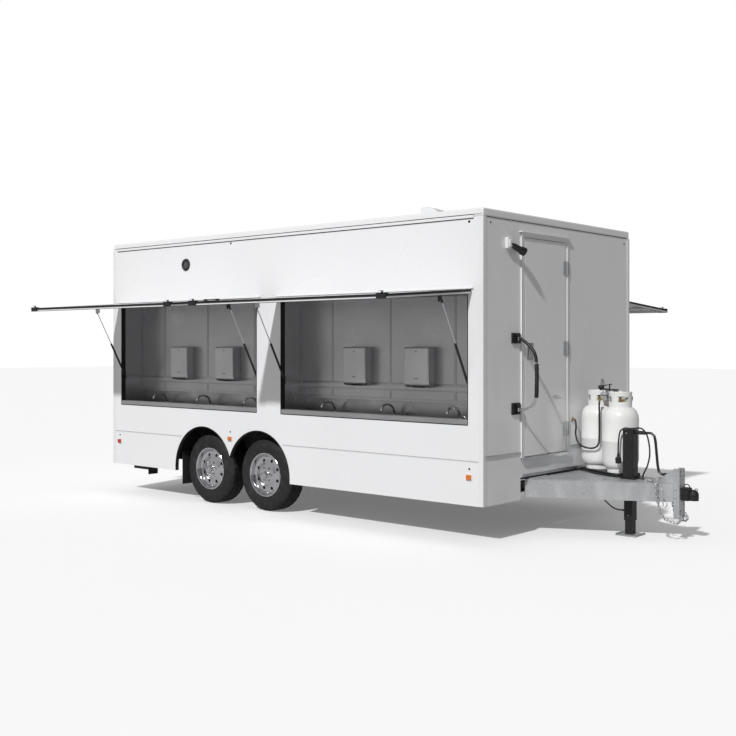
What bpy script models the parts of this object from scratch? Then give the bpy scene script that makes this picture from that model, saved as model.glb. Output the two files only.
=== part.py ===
"""Handwash trailer: tandem-axle box body with stainless sink bays behind four awning hatches.

Metres. +X runs forward to the hitch, +Y to the street side and +Z up. The origin is on the
ground under the middle of the trailer, and the curb side is at -Y.
"""

import math

import bmesh
import bpy
from mathutils import Matrix, Vector

# ---------------------------------------------------------------- driving dimensions
GAP = 0.0003                     # clearance between neighbouring solids
BODY_LENGTH = 4.88
BODY_WIDTH = 2.44
BODY_BOTTOM = 0.305
BODY_TOP = 2.676
TONGUE_LENGTH = 1.235            # front wall to coupler nose
WALL = 0.030
ROOF_DEPTH = 0.066
FRONT_NOTCH_TOP = 0.49           # underside of the front wall between its corner skirts
FRONT_SKIRT_WIDTH = 0.535

FRONT_X = (BODY_LENGTH - TONGUE_LENGTH) / 2
REAR_X = FRONT_X - BODY_LENGTH
SIDE_Y = BODY_WIDTH / 2
WALL_TOP = BODY_TOP - ROOF_DEPTH - GAP

BAY_WIDTH = 2.134                # hatch opening along the side
BAY_FRONT_ENDS = {"front": FRONT_X - 0.149, "rear": FRONT_X - 2.607}
BAY_BOTTOM = 0.945
BAY_TOP = 1.995
BAY_DEPTH = 0.27
SHEET = 0.002                    # stainless liner sheet

WHEEL_X = {"front": FRONT_X - 2.59, "rear": FRONT_X - 3.39}
TYRE_RADIUS = 0.350
TYRE_WIDTH = 0.215
TYRE_SIDES = 32
WHEEL_Z = TYRE_RADIUS * math.cos(math.pi / TYRE_SIDES)
TYRE_OUTER_Y = SIDE_Y - 0.085
TYRE_Y = TYRE_OUTER_Y - TYRE_WIDTH / 2
RIM_RADIUS = 0.205
ARCH_RADIUS = 0.425
SPINDLE_RADIUS = 0.020

FRAME_TOP = 0.4665
FRAME_BOTTOM = 0.340
RAIL_Y = 0.72
TONGUE_BOTTOM = 0.317
FLOOR_TOP = 0.497
WELL_TOP = 0.786
WELL_INNER_Y = 0.860

HATCH_HINGE_Z = 2.000
HATCH_HINGE_OUT = 0.004
HATCH_LENGTH = 1.050
HATCH_THICK = 0.031
HATCH_OVERLAP = 0.040
HATCH_TILT = math.radians(4.0)   # open leaf hangs this far below level
STRUT_FOOT = (-0.035, 1.260)     # outward from the skin, height
STRUT_HEAD = (0.325, 1.937)
STRUT_INSET = 0.020              # strut plane inside the jamb
STRUT_TUBE_LENGTH = 0.385

DOOR_Y = (-0.620, 0.030)
DOOR_Z = (0.660, 2.480)
DOOR_THICK = 0.035
DOOR_HINGE = (0.012, 0.047, 1.570)    # ahead of the front wall, Y, height

JACK_X = FRONT_X + 0.640
JACK_TOP = 0.880
TANK_RADIUS = 0.155
TANK_BASE = 0.500
TANK_CENTRES = {"front": (FRONT_X + 0.470, 0.150), "rear": (FRONT_X + 0.180, 0.310)}
COUPLER_X = FRONT_X + 1.045
COUPLER_Z = 0.385

SIDES = {"right": -1, "left": 1}
ENDS = ("front", "rear")

# ---------------------------------------------------------------- scene and helpers
for stale in list(bpy.data.objects):
    bpy.data.objects.remove(stale, do_unlink=True)
PARTS = bpy.data.collections.new("handwash_trailer")
CUTTERS = bpy.data.collections.new("cutters")
bpy.context.scene.collection.children.link(PARTS)
bpy.context.scene.collection.children.link(CUTTERS)


def material(name, colour, roughness, metallic=0.0):
    """A plain Principled material."""
    made = bpy.data.materials.new(name)
    made.use_nodes = True
    shader = made.node_tree.nodes["Principled BSDF"]
    shader.inputs["Base Color"].default_value = (*colour, 1.0)
    shader.inputs["Roughness"].default_value = roughness
    shader.inputs["Metallic"].default_value = metallic
    return made


WHITE = material("white_panel", (0.86, 0.86, 0.87), 0.25)
STAINLESS = material("stainless", (0.56, 0.56, 0.57), 0.32, 1.0)
GALVANISED = material("galvanised", (0.60, 0.61, 0.62), 0.45, 1.0)
CHROME = material("chrome", (0.78, 0.78, 0.80), 0.08, 1.0)
BLACK_STEEL = material("black_steel", (0.02, 0.02, 0.022), 0.42)
TYRE_RUBBER = material("tyre_rubber", (0.018, 0.018, 0.019), 0.80)
HOSE_RUBBER = material("hose_rubber", (0.02, 0.02, 0.02), 0.60)
TANK_WHITE = material("tank_white", (0.84, 0.84, 0.83), 0.30)
TANK_PLASTIC = material("tank_plastic", (0.75, 0.77, 0.78), 0.50)
DARK_FRAME = material("dark_frame", (0.05, 0.05, 0.055), 0.55)


def place(mesh, name, finish, collection=PARTS):
    """Make an object of a mesh in a collection."""
    made = bpy.data.objects.new(name, mesh)
    collection.objects.link(made)
    if finish:
        mesh.materials.append(finish)
    return made


def mesh_from(bm, name):
    """Turn a bmesh into a mesh datablock."""
    mesh = bpy.data.meshes.new(name)
    bm.to_mesh(mesh)
    bm.free()
    return mesh


def bevel(target, width, segments=1, angle=0.6):
    """Round the sharp edges of an object."""
    edge = target.modifiers.new("edge", "BEVEL")
    edge.width = width
    edge.segments = segments
    edge.limit_method = "ANGLE"
    edge.angle_limit = angle
    return target


def box(name, low, high, finish, edge=0.0, collection=PARTS):
    """An axis-aligned box between two corners."""
    low, high = Vector(low), Vector(high)
    bm = bmesh.new()
    bmesh.ops.create_cube(bm, size=1.0)
    bmesh.ops.scale(bm, vec=high - low, verts=bm.verts)
    made = place(mesh_from(bm, name), name, finish, collection)
    made.location = (low + high) / 2
    if edge:
        bevel(made, edge)
    return made


AXIS_TURN = {
    "X": Matrix.Rotation(math.pi / 2, 4, "Y"),
    "Y": Matrix.Rotation(-math.pi / 2, 4, "X"),
    "Z": Matrix.Identity(4),
}


def cylinder(name, radius, length, centre, axis, finish, sides=16, collection=PARTS):
    """A capped cylinder along X, Y or Z."""
    bm = bmesh.new()
    bmesh.ops.create_cone(bm, cap_ends=True, segments=sides, radius1=radius, radius2=radius,
                          depth=length, matrix=AXIS_TURN[axis])
    made = place(mesh_from(bm, name), name, finish, collection)
    made.data.shade_smooth()
    made.data.set_sharp_from_angle(angle=0.7)
    made.location = centre
    return made


def sphere(name, radius, centre, finish, sides=12, collection=PARTS):
    """A ball."""
    bm = bmesh.new()
    bmesh.ops.create_uvsphere(bm, u_segments=sides, v_segments=sides // 2, radius=radius)
    made = place(mesh_from(bm, name), name, finish, collection)
    made.data.shade_smooth()
    made.location = centre
    return made


def turned(name, profile, finish, steps, axis="Z", closed=False):
    """A turned body: the profile (radius, height) runs from top to bottom down its outer side."""
    bm = bmesh.new()
    points = [bm.verts.new((r, 0.0, z)) for r, z in profile]
    for a, b in zip(points, points[1:]):
        bm.edges.new((a, b))
    if closed:
        bm.edges.new((points[-1], points[0]))
    made = place(mesh_from(bm, name), name, finish)
    turn = made.modifiers.new("turn", "SCREW")
    turn.axis = "Z"
    turn.steps = steps
    turn.render_steps = steps
    turn.use_merge_vertices = True
    turn.merge_threshold = 0.0001
    turn.use_smooth_shade = True
    made.rotation_euler = AXIS_TURN[axis].to_euler()
    return made


def outline(name, loops, thickness, finish, collection=PARTS):
    """A flat plate in the local XY plane, centred on z = 0, from one outline and its holes."""
    curve = bpy.data.curves.new(name, "CURVE")
    curve.dimensions = "2D"
    curve.fill_mode = "BOTH"
    curve.extrude = thickness / 2
    for points in loops:
        spline = curve.splines.new("POLY")
        spline.points.add(len(points) - 1)
        for point, (x, y) in zip(spline.points, points):
            point.co = (x, y, 0.0, 1.0)
        spline.use_cyclic_u = True
    made = bpy.data.objects.new(name, curve)
    collection.objects.link(made)
    curve.materials.append(finish)
    return made


def smooth_route(points, spacing):
    """Points along a smooth curve through the given ones, about one spacing apart."""
    points = [Vector(p) for p in points]
    ends = [2 * points[0] - points[1], *points, 2 * points[-1] - points[-2]]
    route = []
    for a, b, c, d in zip(ends, ends[1:], ends[2:], ends[3:]):
        count = max(1, round((c - b).length / spacing))
        for step in range(count):
            t = step / count
            route.append(0.5 * (2 * b + (c - a) * t + (2 * a - 5 * b + 4 * c - d) * t ** 2
                                + (3 * b - a - 3 * c + d) * t ** 3))
    route.append(points[-1])
    return route


def tube(name, route, radius, finish, resolution=1, collection=PARTS):
    """A round bar along a route, with its ends closed."""
    curve = bpy.data.curves.new(name, "CURVE")
    curve.dimensions = "3D"
    curve.bevel_depth = radius
    curve.bevel_resolution = resolution
    curve.use_fill_caps = True
    spline = curve.splines.new("POLY")
    spline.points.add(len(route) - 1)
    for point, place_at in zip(spline.points, route):
        point.co = (*place_at, 1.0)
    made = bpy.data.objects.new(name, curve)
    collection.objects.link(made)
    curve.materials.append(finish)
    return made


def solid(curved):
    """Turn a curve object into a welded mesh object in the same place."""
    bpy.context.view_layer.update()
    shape = curved.evaluated_get(bpy.context.evaluated_depsgraph_get())
    mesh = bpy.data.meshes.new_from_object(shape)
    bm = bmesh.new()
    bm.from_mesh(mesh)
    bmesh.ops.remove_doubles(bm, verts=bm.verts, dist=0.00001)
    bm.to_mesh(mesh)
    bm.free()
    name = curved.name
    where = curved.matrix_world.copy()
    collection = curved.users_collection[0]
    bpy.data.objects.remove(curved, do_unlink=True)
    made = bpy.data.objects.new(name, mesh)
    collection.objects.link(made)
    made.matrix_world = where
    return made


def combine(target, others, operation="UNION"):
    """Join others to a target, or cut them from it."""
    for other in others:
        other.name = f"tool_{other.name}"
        for collection in list(other.users_collection):
            collection.objects.unlink(other)
        CUTTERS.objects.link(other)
        other.hide_render = True
        other.display_type = "WIRE"
        step = target.modifiers.new(operation.lower(), "BOOLEAN")
        step.operation = operation
        step.solver = "EXACT"
        step.object = other
    return target


def cut(target, others):
    """Cut others from a target."""
    return combine(target, others, "DIFFERENCE")


def pivot(name, where, parts, tilt=0.0):
    """An empty on a joint's axis that carries parts modelled in its own frame."""
    empty = bpy.data.objects.new(name, None)
    PARTS.objects.link(empty)
    empty.location = where
    empty.rotation_euler = (tilt, 0.0, 0.0)
    for part in parts:
        part.parent = empty
    return empty


# ---------------------------------------------------------------- frame, tongue and running gear
def channel(name, start, end, y_web, flange, collection=PARTS):
    """A C-channel rail along X, web at y_web and flanges turned towards flange's side."""
    web, depth, sheet = y_web, 0.05 * flange, 0.006 * flange
    height = FRAME_TOP - FRAME_BOTTOM
    section = [(web, 0), (web + depth, 0), (web + depth, 0.006), (web + sheet, 0.006),
               (web + sheet, height - 0.006), (web + depth, height - 0.006),
               (web + depth, height), (web, height)]
    made = outline(name, [section], end - start, DARK_FRAME, collection)
    made.matrix_world = Matrix.Translation(((start + end) / 2, 0, FRAME_BOTTOM)) @ Matrix(
        ((0, 0, 1, 0), (1, 0, 0, 0), (0, 1, 0, 0), (0, 0, 0, 1)))
    return solid(made)


def build_chassis():
    """Two long rails tied by five cross members, with outriggers out to the walls."""
    start, end = REAR_X + WALL + 0.01, FRONT_X - WALL - 0.01
    rail = channel("chassis_frame", start, end, -RAIL_Y, 1)
    pieces = [channel("rail_left", start, end, RAIL_Y, -1)]
    pockets = []
    members = 5
    sheet = 0.006
    for n in range(members):
        x = start + 0.002 + n * (end - start - 0.054) / (members - 1)
        pieces.append(box(f"member_{n}", (x, -RAIL_Y + 0.003, FRAME_BOTTOM + 0.02),
                          (x + 0.05, RAIL_Y - 0.003, FRAME_TOP - 0.02), DARK_FRAME))
        pockets.append(box(f"member_pocket_{n}",
                           (x + sheet, -RAIL_Y + 0.010, FRAME_BOTTOM + 0.02 + sheet),
                           (x + 0.06, RAIL_Y - 0.010, FRAME_TOP - 0.02 - sheet), None))
    for x in (start + 0.03, end - 0.08, WHEEL_X["front"] + 0.52, WHEEL_X["rear"] - 0.57):
        for side in SIDES.values():
            ys = sorted((side * (RAIL_Y - 0.003), side * (SIDE_Y - WALL - 0.004)))
            pieces.append(box(f"outrigger_{x:.1f}_{side}", (x, ys[0], FRAME_TOP - 0.06),
                              (x + 0.04, ys[1], FRAME_TOP - 0.01), DARK_FRAME))
    combine(rail, pieces)
    cut(rail, pockets)


def build_tongue():
    """The A-frame: two box rails that meet at the coupler under a tread-plate deck."""
    deck_top = FRAME_TOP + 0.004
    front = COUPLER_X - 0.001 - FRONT_X
    wide, narrow, rail = 0.560, 0.048, 0.055
    deck = outline("tongue_frame", [[(0.001, -wide), (front, -narrow), (front, narrow),
                                     (0.001, wide)]], 0.004, GALVANISED)
    deck.location = (FRONT_X, 0, deck_top - 0.002)
    deck = solid(deck)
    rails = []
    for side in SIDES.values():
        outer, root = wide + 0.013, -0.031
        flat = [(root, side * outer), (front - 0.002, side * (narrow - 0.002)),
                (front - 0.002, side * 0.004), (root, side * (outer - rail))]
        bar = outline(f"a_rail_{side}", [flat], FRAME_TOP + 0.001 - TONGUE_BOTTOM, GALVANISED)
        bar.location = (FRONT_X, 0, (FRAME_TOP + 0.001 + TONGUE_BOTTOM) / 2)
        rails.append(solid(bar))
    hole = box("jack_hole", (JACK_X - 0.0395, -0.0395, 0.2), (JACK_X + 0.0395, 0.0395, 0.6),
               None)
    combine(deck, rails)
    cut(deck, [hole])


def build_axle(end):
    """A torsion axle: square tube under the frame, trailing arms and stub spindles."""
    x = WHEEL_X[end]
    lead = 0.12
    inner = TYRE_Y - TYRE_WIDTH / 2 - 0.012
    beam = box(f"axle_{end}", (x + lead - 0.035, -inner + 0.01, FRAME_BOTTOM - 0.0753),
               (x + lead + 0.035, inner - 0.01, FRAME_BOTTOM - 0.0053), DARK_FRAME, edge=0.004)
    pieces = []
    for side in SIDES.values():
        arm = outline(f"arm_{side}", [[(lead + 0.03, -0.10), (lead + 0.03, -0.03), (-0.03, 0.035),
                                       (-0.04, -0.035), (lead - 0.02, -0.10)]],
                      0.025, DARK_FRAME)
        arm.rotation_euler = (math.pi / 2, 0, 0)
        arm.location = (x, side * (inner - 0.0135), WHEEL_Z)
        pieces.append(solid(arm))
        pieces.append(cylinder(f"spindle_{side}", SPINDLE_RADIUS, 0.13,
                               (x, side * (inner + 0.045), WHEEL_Z), "Y", DARK_FRAME, 16))
    combine(beam, pieces)


def build_wheel(side_name, end):
    """A tyre and a dished steel wheel on its own spin axis."""
    side = SIDES[side_name]
    half = TYRE_WIDTH / 2
    tread = 0.080
    crown = TYRE_RADIUS - 0.018
    seat, lip = RIM_RADIUS - 0.013, RIM_RADIUS + 0.007
    tyre = turned(f"tyre_{side_name}_{end}", [
        (lip, half - 0.006), (0.270, half), (0.325, half - 0.012), (TYRE_RADIUS, tread),
        (TYRE_RADIUS, -tread), (0.325, 0.012 - half), (0.270, -half), (lip, 0.006 - half),
        (lip, 0.020 - half), (seat, 0.022 - half), (seat, 0.034 - half),
        (0.240, 0.014 - half), (0.312, 0.026 - half), (crown, -tread), (crown, tread),
        (0.312, half - 0.026), (0.240, half - 0.014), (seat, half - 0.034),
        (seat, half - 0.022), (lip, half - 0.020)],
        TYRE_RUBBER, TYRE_SIDES, closed=True)
    face = half - 0.022
    barrel = seat - 0.003
    rim = turned(f"wheel_{side_name}_{end}", [
        (0.0, half + 0.014), (0.036, half + 0.010), (0.042, face - 0.006), (0.100, face - 0.004),
        (0.150, face - 0.024), (0.172, face - 0.020), (barrel, half - 0.008),
        (RIM_RADIUS, half - 0.008), (RIM_RADIUS, half - 0.018), (barrel, half - 0.018),
        (barrel, 0.018 - half), (RIM_RADIUS, 0.018 - half), (RIM_RADIUS, 0.010 - half),
        (barrel - 0.006, 0.010 - half), (barrel - 0.010, face - 0.045), (0.055, face - 0.030),
        (0.055, 0.002 - half), (SPINDLE_RADIUS + 0.001, 0.002 - half),
        (SPINDLE_RADIUS + 0.001, 0.045), (0.0, 0.045)], CHROME, 24)
    turn = Matrix.Rotation(-side * math.pi / 2, 4, "X")
    phase = Matrix.Rotation(math.pi / 2 - math.pi / TYRE_SIDES, 4, "Z")
    for part, lead in ((tyre, phase), (rim, Matrix.Identity(4))):
        part.matrix_world = (Matrix.Translation((WHEEL_X[end], side * TYRE_Y, WHEEL_Z))
                             @ turn @ lead)


def build_jack():
    """A square drop-leg jack with a side crank, standing through the tongue."""
    housing = box("jack_housing", (JACK_X - 0.0475, -0.0475, FRAME_TOP + 0.0045),
                  (JACK_X + 0.0475, 0.0475, JACK_TOP), BLACK_STEEL, edge=0.004)
    lower = box("outer_tube", (JACK_X - 0.0385, -0.0385, 0.125),
                (JACK_X + 0.0385, 0.0385, FRAME_TOP + 0.01), BLACK_STEEL)
    flange = box("flange", (JACK_X - 0.065, -0.060, FRAME_TOP + 0.0043),
                 (JACK_X + 0.065, 0.060, FRAME_TOP + 0.014), BLACK_STEEL)
    combine(housing, [lower, flange])
    bore = box("leg_bore", (JACK_X - 0.0335, -0.0335, 0.10),
               (JACK_X + 0.0335, 0.0335, JACK_TOP - 0.06), None)
    shaft_hole = cylinder("shaft_hole", 0.0125, 0.06, (JACK_X + 0.048, 0, JACK_TOP - 0.02), "X",
                          None, 12)
    cut(housing, [bore, shaft_hole])
    leg = box("jack_leg", (JACK_X - 0.0325, -0.0325, 0.008), (JACK_X + 0.0325, 0.0325, 0.560),
              BLACK_STEEL)
    foot = box("jack_foot", (JACK_X - 0.09, -0.09, 0.0), (JACK_X + 0.09, 0.09, 0.010),
               BLACK_STEEL)
    hollow = box("leg_hollow", (JACK_X - 0.0275, -0.0275, 0.012),
                 (JACK_X + 0.0275, 0.0275, 0.60), None)
    combine(leg, [foot])
    cut(leg, [hollow])
    route = smooth_route([(0.025, 0, 0), (0.12, 0, 0), (0.19, 0, 0), (0.215, 0, -0.02),
                          (0.225, 0, -0.06), (0.245, 0, -0.26), (0.255, 0, -0.31),
                          (0.28, 0, -0.33), (0.33, 0, -0.332), (0.375, 0, -0.332)], 0.035)
    crank = tube("jack_crank", route, 0.011, BLACK_STEEL, 1)
    crank.location = (JACK_X, 0, JACK_TOP - 0.02)


def build_coupler():
    """Adjustable channel, ball coupler head and its over-centre latch."""
    channel_plate = box("coupler_channel", (COUPLER_X, -0.0535, 0.187),
                        (COUPLER_X + 0.052, 0.0535, 0.590), GALVANISED, edge=0.003)
    pocket = box("channel_pocket", (COUPLER_X - 0.01, -0.0435, 0.10),
                 (COUPLER_X + 0.040, 0.0435, 0.70), None)
    cut(channel_plate, [pocket])
    back = box("channel_back", (COUPLER_X + 0.0005, -0.0460, 0.330),
               (COUPLER_X + 0.0400, 0.0460, 0.460), GALVANISED)
    combine(channel_plate, [back])
    face = COUPLER_X + 0.0523
    nose = COUPLER_X + 0.190
    socket = 0.0265
    head = box("coupler_head", (face, -0.040, COUPLER_Z - 0.050),
               (nose - 0.065, 0.040, COUPLER_Z + 0.048), BLACK_STEEL, edge=0.008)
    dome = sphere("dome", 0.0425, (nose - 0.0425, 0, COUPLER_Z), BLACK_STEEL, 16)
    skirt = cylinder("socket_skirt", 0.0415, 0.045, (nose - 0.0425, 0, COUPLER_Z - 0.0225), "Z",
                     BLACK_STEEL, 16)
    combine(head, [dome, skirt])
    ball = sphere("ball_space", socket, (nose - 0.0425, 0, COUPLER_Z - 0.004), None, 16)
    throat = cylinder("ball_throat", socket - 0.001, 0.08,
                      (nose - 0.0425, 0, COUPLER_Z - 0.044), "Z", None, 16)
    cut(head, [ball, throat])
    ring = smooth_route([(0.0, 0, 0.004), (0.012, 0, 0.026), (0.030, 0, 0.033),
                         (0.047, 0, 0.022), (0.052, 0, 0.004)], 0.012)
    latch = tube("coupler_latch", ring, 0.0045, BLACK_STEEL, 1)
    latch.location = (face + 0.012, 0, COUPLER_Z + 0.048 + 0.0015)


def build_stabiliser(side_name):
    """A drop-leg stabiliser folded up under the rear corner."""
    side = SIDES[side_name]
    arm = box(f"stabiliser_{side_name}", (-0.020, -0.020, -0.020), (0.300, 0.020, 0.012),
              BLACK_STEEL, edge=0.003)
    foot = box(f"stabiliser_foot_{side_name}", (0.285, -0.060, -0.062), (0.296, 0.060, 0.050),
               BLACK_STEEL)
    combine(arm, [foot])
    pivot(f"stabiliser_pivot_{side_name}", (REAR_X + 0.14, side * (SIDE_Y - 0.20), 0.262),
          [arm, foot])


# ---------------------------------------------------------------- body shell
def arch_points():
    """The lower edge of a side wall over its two wheels, from rear to front."""
    centres = [WHEEL_X["rear"], WHEEL_X["front"]]
    middle = sum(centres) / 2
    rise = WHEEL_Z
    foot = math.asin((BODY_BOTTOM - rise) / ARCH_RADIUS)
    crossing = math.acos((middle - centres[0]) / ARCH_RADIUS)
    steps = 12
    spans = [(math.pi - foot, crossing), (math.pi - crossing, foot)]
    points = []
    for centre, (begin, finish) in zip(centres, spans):
        for n in range(steps + 1):
            angle = begin + (finish - begin) * n / steps
            points.append((centre + ARCH_RADIUS * math.cos(angle),
                           rise + ARCH_RADIUS * math.sin(angle)))
    del points[steps + 1]
    return points


def build_side_wall(side_name):
    """A side wall with two hatch openings and the wheel arches."""
    side = SIDES[side_name]
    edge = [(REAR_X, BODY_BOTTOM), *arch_points(), (FRONT_X, BODY_BOTTOM), (FRONT_X, WALL_TOP),
            (REAR_X, WALL_TOP)]
    holes = []
    for front in BAY_FRONT_ENDS.values():
        holes.append([(front - BAY_WIDTH, BAY_BOTTOM), (front - BAY_WIDTH, BAY_TOP),
                      (front, BAY_TOP), (front, BAY_BOTTOM)])
    wall = outline(f"side_wall_{side_name}", [edge, *holes], WALL, WHITE)
    wall.rotation_euler = (math.pi / 2, 0, 0)
    wall.location = (0, side * (SIDE_Y - WALL / 2), 0)


def build_end_walls():
    """Front wall with its doorway and tongue notch, and the plain rear wall."""
    half = SIDE_Y - WALL - GAP
    notch = SIDE_Y - FRONT_SKIRT_WIDTH
    edge = [(-half, BODY_BOTTOM), (-notch, BODY_BOTTOM), (-notch, FRONT_NOTCH_TOP),
            (notch, FRONT_NOTCH_TOP), (notch, BODY_BOTTOM), (half, BODY_BOTTOM),
            (half, WALL_TOP), (-half, WALL_TOP)]
    slack = 0.004
    low_y, high_y = DOOR_Y[0] - slack, DOOR_Y[1] + slack
    low_z, high_z = DOOR_Z[0] - slack, DOOR_Z[1] + slack
    doorway = [(low_y, low_z), (low_y, high_z), (high_y, high_z), (high_y, low_z)]
    upright = Matrix(((0, 0, 1, 0), (1, 0, 0, 0), (0, 1, 0, 0), (0, 0, 0, 1)))
    front = outline("front_wall", [edge, doorway], WALL, WHITE)
    front.matrix_world = Matrix.Translation((FRONT_X - WALL / 2, 0, 0)) @ upright
    box("rear_wall", (REAR_X, -half, BODY_BOTTOM), (REAR_X + WALL, half, WALL_TOP), WHITE)


def build_roof():
    """A tray-shaped roof cap, open underneath, and a low wedge vent on it."""
    cap = box("roof", (REAR_X, -SIDE_Y, BODY_TOP - ROOF_DEPTH), (FRONT_X, SIDE_Y, BODY_TOP),
              WHITE)
    bevel(cap, 0.012, 2)
    rim = WALL + 0.012
    hollow = box("roof_hollow", (REAR_X + rim, -SIDE_Y + rim, BODY_TOP - ROOF_DEPTH - 0.02),
                 (FRONT_X - rim, SIDE_Y - rim, BODY_TOP - 0.014), None)
    cut(cap, [hollow])
    length, width, tall, low = 0.28, 0.15, 0.145, 0.045
    vent = outline("roof_vent", [[(-length / 2, 0), (length / 2, 0), (length / 2, low * 0.4),
                                  (0.0, tall - 0.03), (-length / 2 + 0.02, tall),
                                  (-length / 2, tall - 0.02)]], width, WHITE)
    vent.rotation_euler = (math.pi / 2, 0, 0)
    vent.location = (FRONT_X - 0.90, -0.62, BODY_TOP + GAP)
    bevel(solid(vent), 0.008, 2)


def build_floor():
    """The floor deck with its two wheel boxes raised through it."""
    inner = SIDE_Y - WALL - 0.002
    ends = (REAR_X + WALL + 0.002, FRONT_X - WALL - 0.002)
    deck = box("floor", (ends[0], -inner, FRAME_TOP + 0.0003), (ends[1], inner, FLOOR_TOP),
               TANK_PLASTIC)
    wells, hollows = [], []
    span = (WHEEL_X["rear"] - 0.45, WHEEL_X["front"] + 0.45)
    for name, side in SIDES.items():
        near, far = sorted((side * WELL_INNER_Y, side * (inner - 0.0005)))
        wells.append(box(f"well_{name}", (span[0] - 0.012, near, FRAME_TOP + 0.002),
                         (span[1] + 0.012, far, WELL_TOP), TANK_PLASTIC))
        near, far = sorted((side * (WELL_INNER_Y + 0.012), side * SIDE_Y))
        hollows.append(box(f"well_hollow_{name}", (span[0], near, 0.2),
                           (span[1], far, WELL_TOP - 0.009), None))
    combine(deck, wells)
    cut(deck, hollows)


def build_door():
    """The entry door leaf and its paddle latch."""
    ahead, hinge_y, hinge_z = DOOR_HINGE
    proud = 0.006                # the leaf's face stands this far ahead of the wall
    leaf = box("entry_door", (proud - DOOR_THICK - ahead, DOOR_Y[0] - hinge_y,
                              DOOR_Z[0] - hinge_z),
               (proud - ahead, DOOR_Y[1] - hinge_y, DOOR_Z[1] - hinge_z), WHITE, edge=0.003)
    pivot("door_pivot", (FRONT_X + ahead, hinge_y, hinge_z), [leaf])
    latch = box("door_latch", (-0.006, -0.028, -0.085), (0.006, 0.028, 0.005), BLACK_STEEL,
                edge=0.003)
    pivot("latch_pivot", (FRONT_X + proud + 0.0085, -0.545, 1.575), [latch])


def build_grab_handle():
    """A fold-away grab bar beside the door."""
    route = smooth_route([(0.0, 0, 1.640), (0.035, 0, 1.632), (0.120, 0, 1.565),
                          (0.160, 0, 1.500), (0.172, 0, 1.400), (0.172, 0, 1.250),
                          (0.165, 0, 1.150), (0.130, 0, 1.095), (0.060, 0, 1.062),
                          (0.0, 0, 1.058)], 0.05)
    bar = tube("grab_handle", route, 0.0125, BLACK_STEEL, 1)
    bar.location = (FRONT_X + 0.028, -0.754, 0)


# ---------------------------------------------------------------- sink bays
FAUCET_SPACING = 0.710
FAUCET_OFFSET = 0.080            # the faucet row sits forward of the bay's middle
FAUCET_BASE_DEPTH = 0.275
DECK_Z = 0.950


def faucet_places(end):
    """Positions of a bay's three faucets along X."""
    middle = BAY_FRONT_ENDS[end] - BAY_WIDTH / 2 + FAUCET_OFFSET
    return [middle + n * FAUCET_SPACING for n in (-1, 0, 1)]


def build_sink_bay(side_name, end):
    """A folded stainless alcove: ceiling, back, recessed backsplash, faucet deck and trough."""
    side = SIDES[side_name]
    profile = [(0.002, 1.991), (BAY_DEPTH, 1.991), (BAY_DEPTH, 1.095), (0.330, 1.095),
               (0.330, DECK_Z), (0.235, DECK_Z), (0.205, 0.800), (0.075, 0.800), (0.050, 0.986),
               (0.002, 0.986), (0.002, 0.950)]
    front = BAY_FRONT_ENDS[end] - 0.004
    back = BAY_FRONT_ENDS[end] - BAY_WIDTH + 0.004
    bm = bmesh.new()
    rows = []
    for x in (back, front):
        rows.append([bm.verts.new((x, side * (SIDE_Y - depth), z)) for depth, z in profile])
    for a, b, c, d in zip(rows[0], rows[0][1:], rows[1][1:], rows[1]):
        bm.faces.new((a, b, c, d))
    for row in rows:
        bm.faces.new(row[:-1])
    bmesh.ops.recalc_face_normals(bm, faces=bm.faces)
    ceiling = max(bm.faces, key=lambda f: (abs(f.normal.z) > 0.9) * f.calc_center_median().z)
    if ceiling.normal.z > 0:
        bmesh.ops.reverse_faces(bm, faces=bm.faces)
    made = place(mesh_from(bm, f"sink_bay_{side_name}_{end}"), f"sink_bay_{side_name}_{end}",
                 STAINLESS)
    shell = made.modifiers.new("sheet", "SOLIDIFY")
    shell.thickness = SHEET
    shell.offset = -1.0
    shell.use_even_offset = True
    holes = [cylinder(f"tap_hole_{side_name}_{end}_{n}", 0.0135, 0.05,
                      (x, side * (SIDE_Y - FAUCET_BASE_DEPTH), DECK_Z), "Z", None, 10)
             for n, x in enumerate(faucet_places(end))]
    cut(made, holes)


def build_faucet_row(side_name, end):
    """Three arched spouts on one supply pipe under the faucet deck."""
    side = SIDES[side_name]
    places = faucet_places(end)
    base_y = side * (SIDE_Y - FAUCET_BASE_DEPTH)
    pipe_z = DECK_Z - 0.030
    pipe = cylinder(f"faucet_row_{side_name}_{end}", 0.014, 2 * FAUCET_SPACING + 0.10,
                    (places[1], base_y, pipe_z), "X", CHROME, 10)
    pieces = []
    for n, x in enumerate(places):
        arch = [(0.275, pipe_z), (0.275, 0.965), (0.268, 1.010), (0.240, 1.050),
                (0.190, 1.070), (0.135, 1.066), (0.105, 1.045), (0.098, 1.030)]
        route = smooth_route([(x, side * (SIDE_Y - d), z) for d, z in arch], 0.035)
        pieces.append(solid(tube(f"spout_{side_name}_{end}_{n}", route, 0.0105, CHROME, 0)))
        pieces.append(cylinder(f"flange_{side_name}_{end}_{n}", 0.027, 0.012,
                               (x, base_y, DECK_Z + 0.0063), "Z", CHROME, 12))
    combine(pipe, pieces)


def build_dispenser(side_name, end, n):
    """A wall dispenser with a rounded lower front edge."""
    side = SIDES[side_name]
    places = faucet_places(end)
    x = (places[n] + places[n + 1]) / 2 - 0.03
    case = outline(f"dispenser_{side_name}_{end}_{n + 1}", [[
        (0, 1.225), (0.055, 1.225), (0.082, 1.236), (0.098, 1.262), (0.100, 1.300),
        (0.100, 1.560), (0.092, 1.570), (0, 1.570)]], 0.270, STAINLESS)
    turn = Matrix(((0, 0, 1, 0), (-1, 0, 0, 0), (0, 1, 0, 0), (0, 0, 0, 1)))
    case.matrix_world = Matrix.Translation((x, side * (SIDE_Y - BAY_DEPTH + GAP), 0)) @ turn


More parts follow.
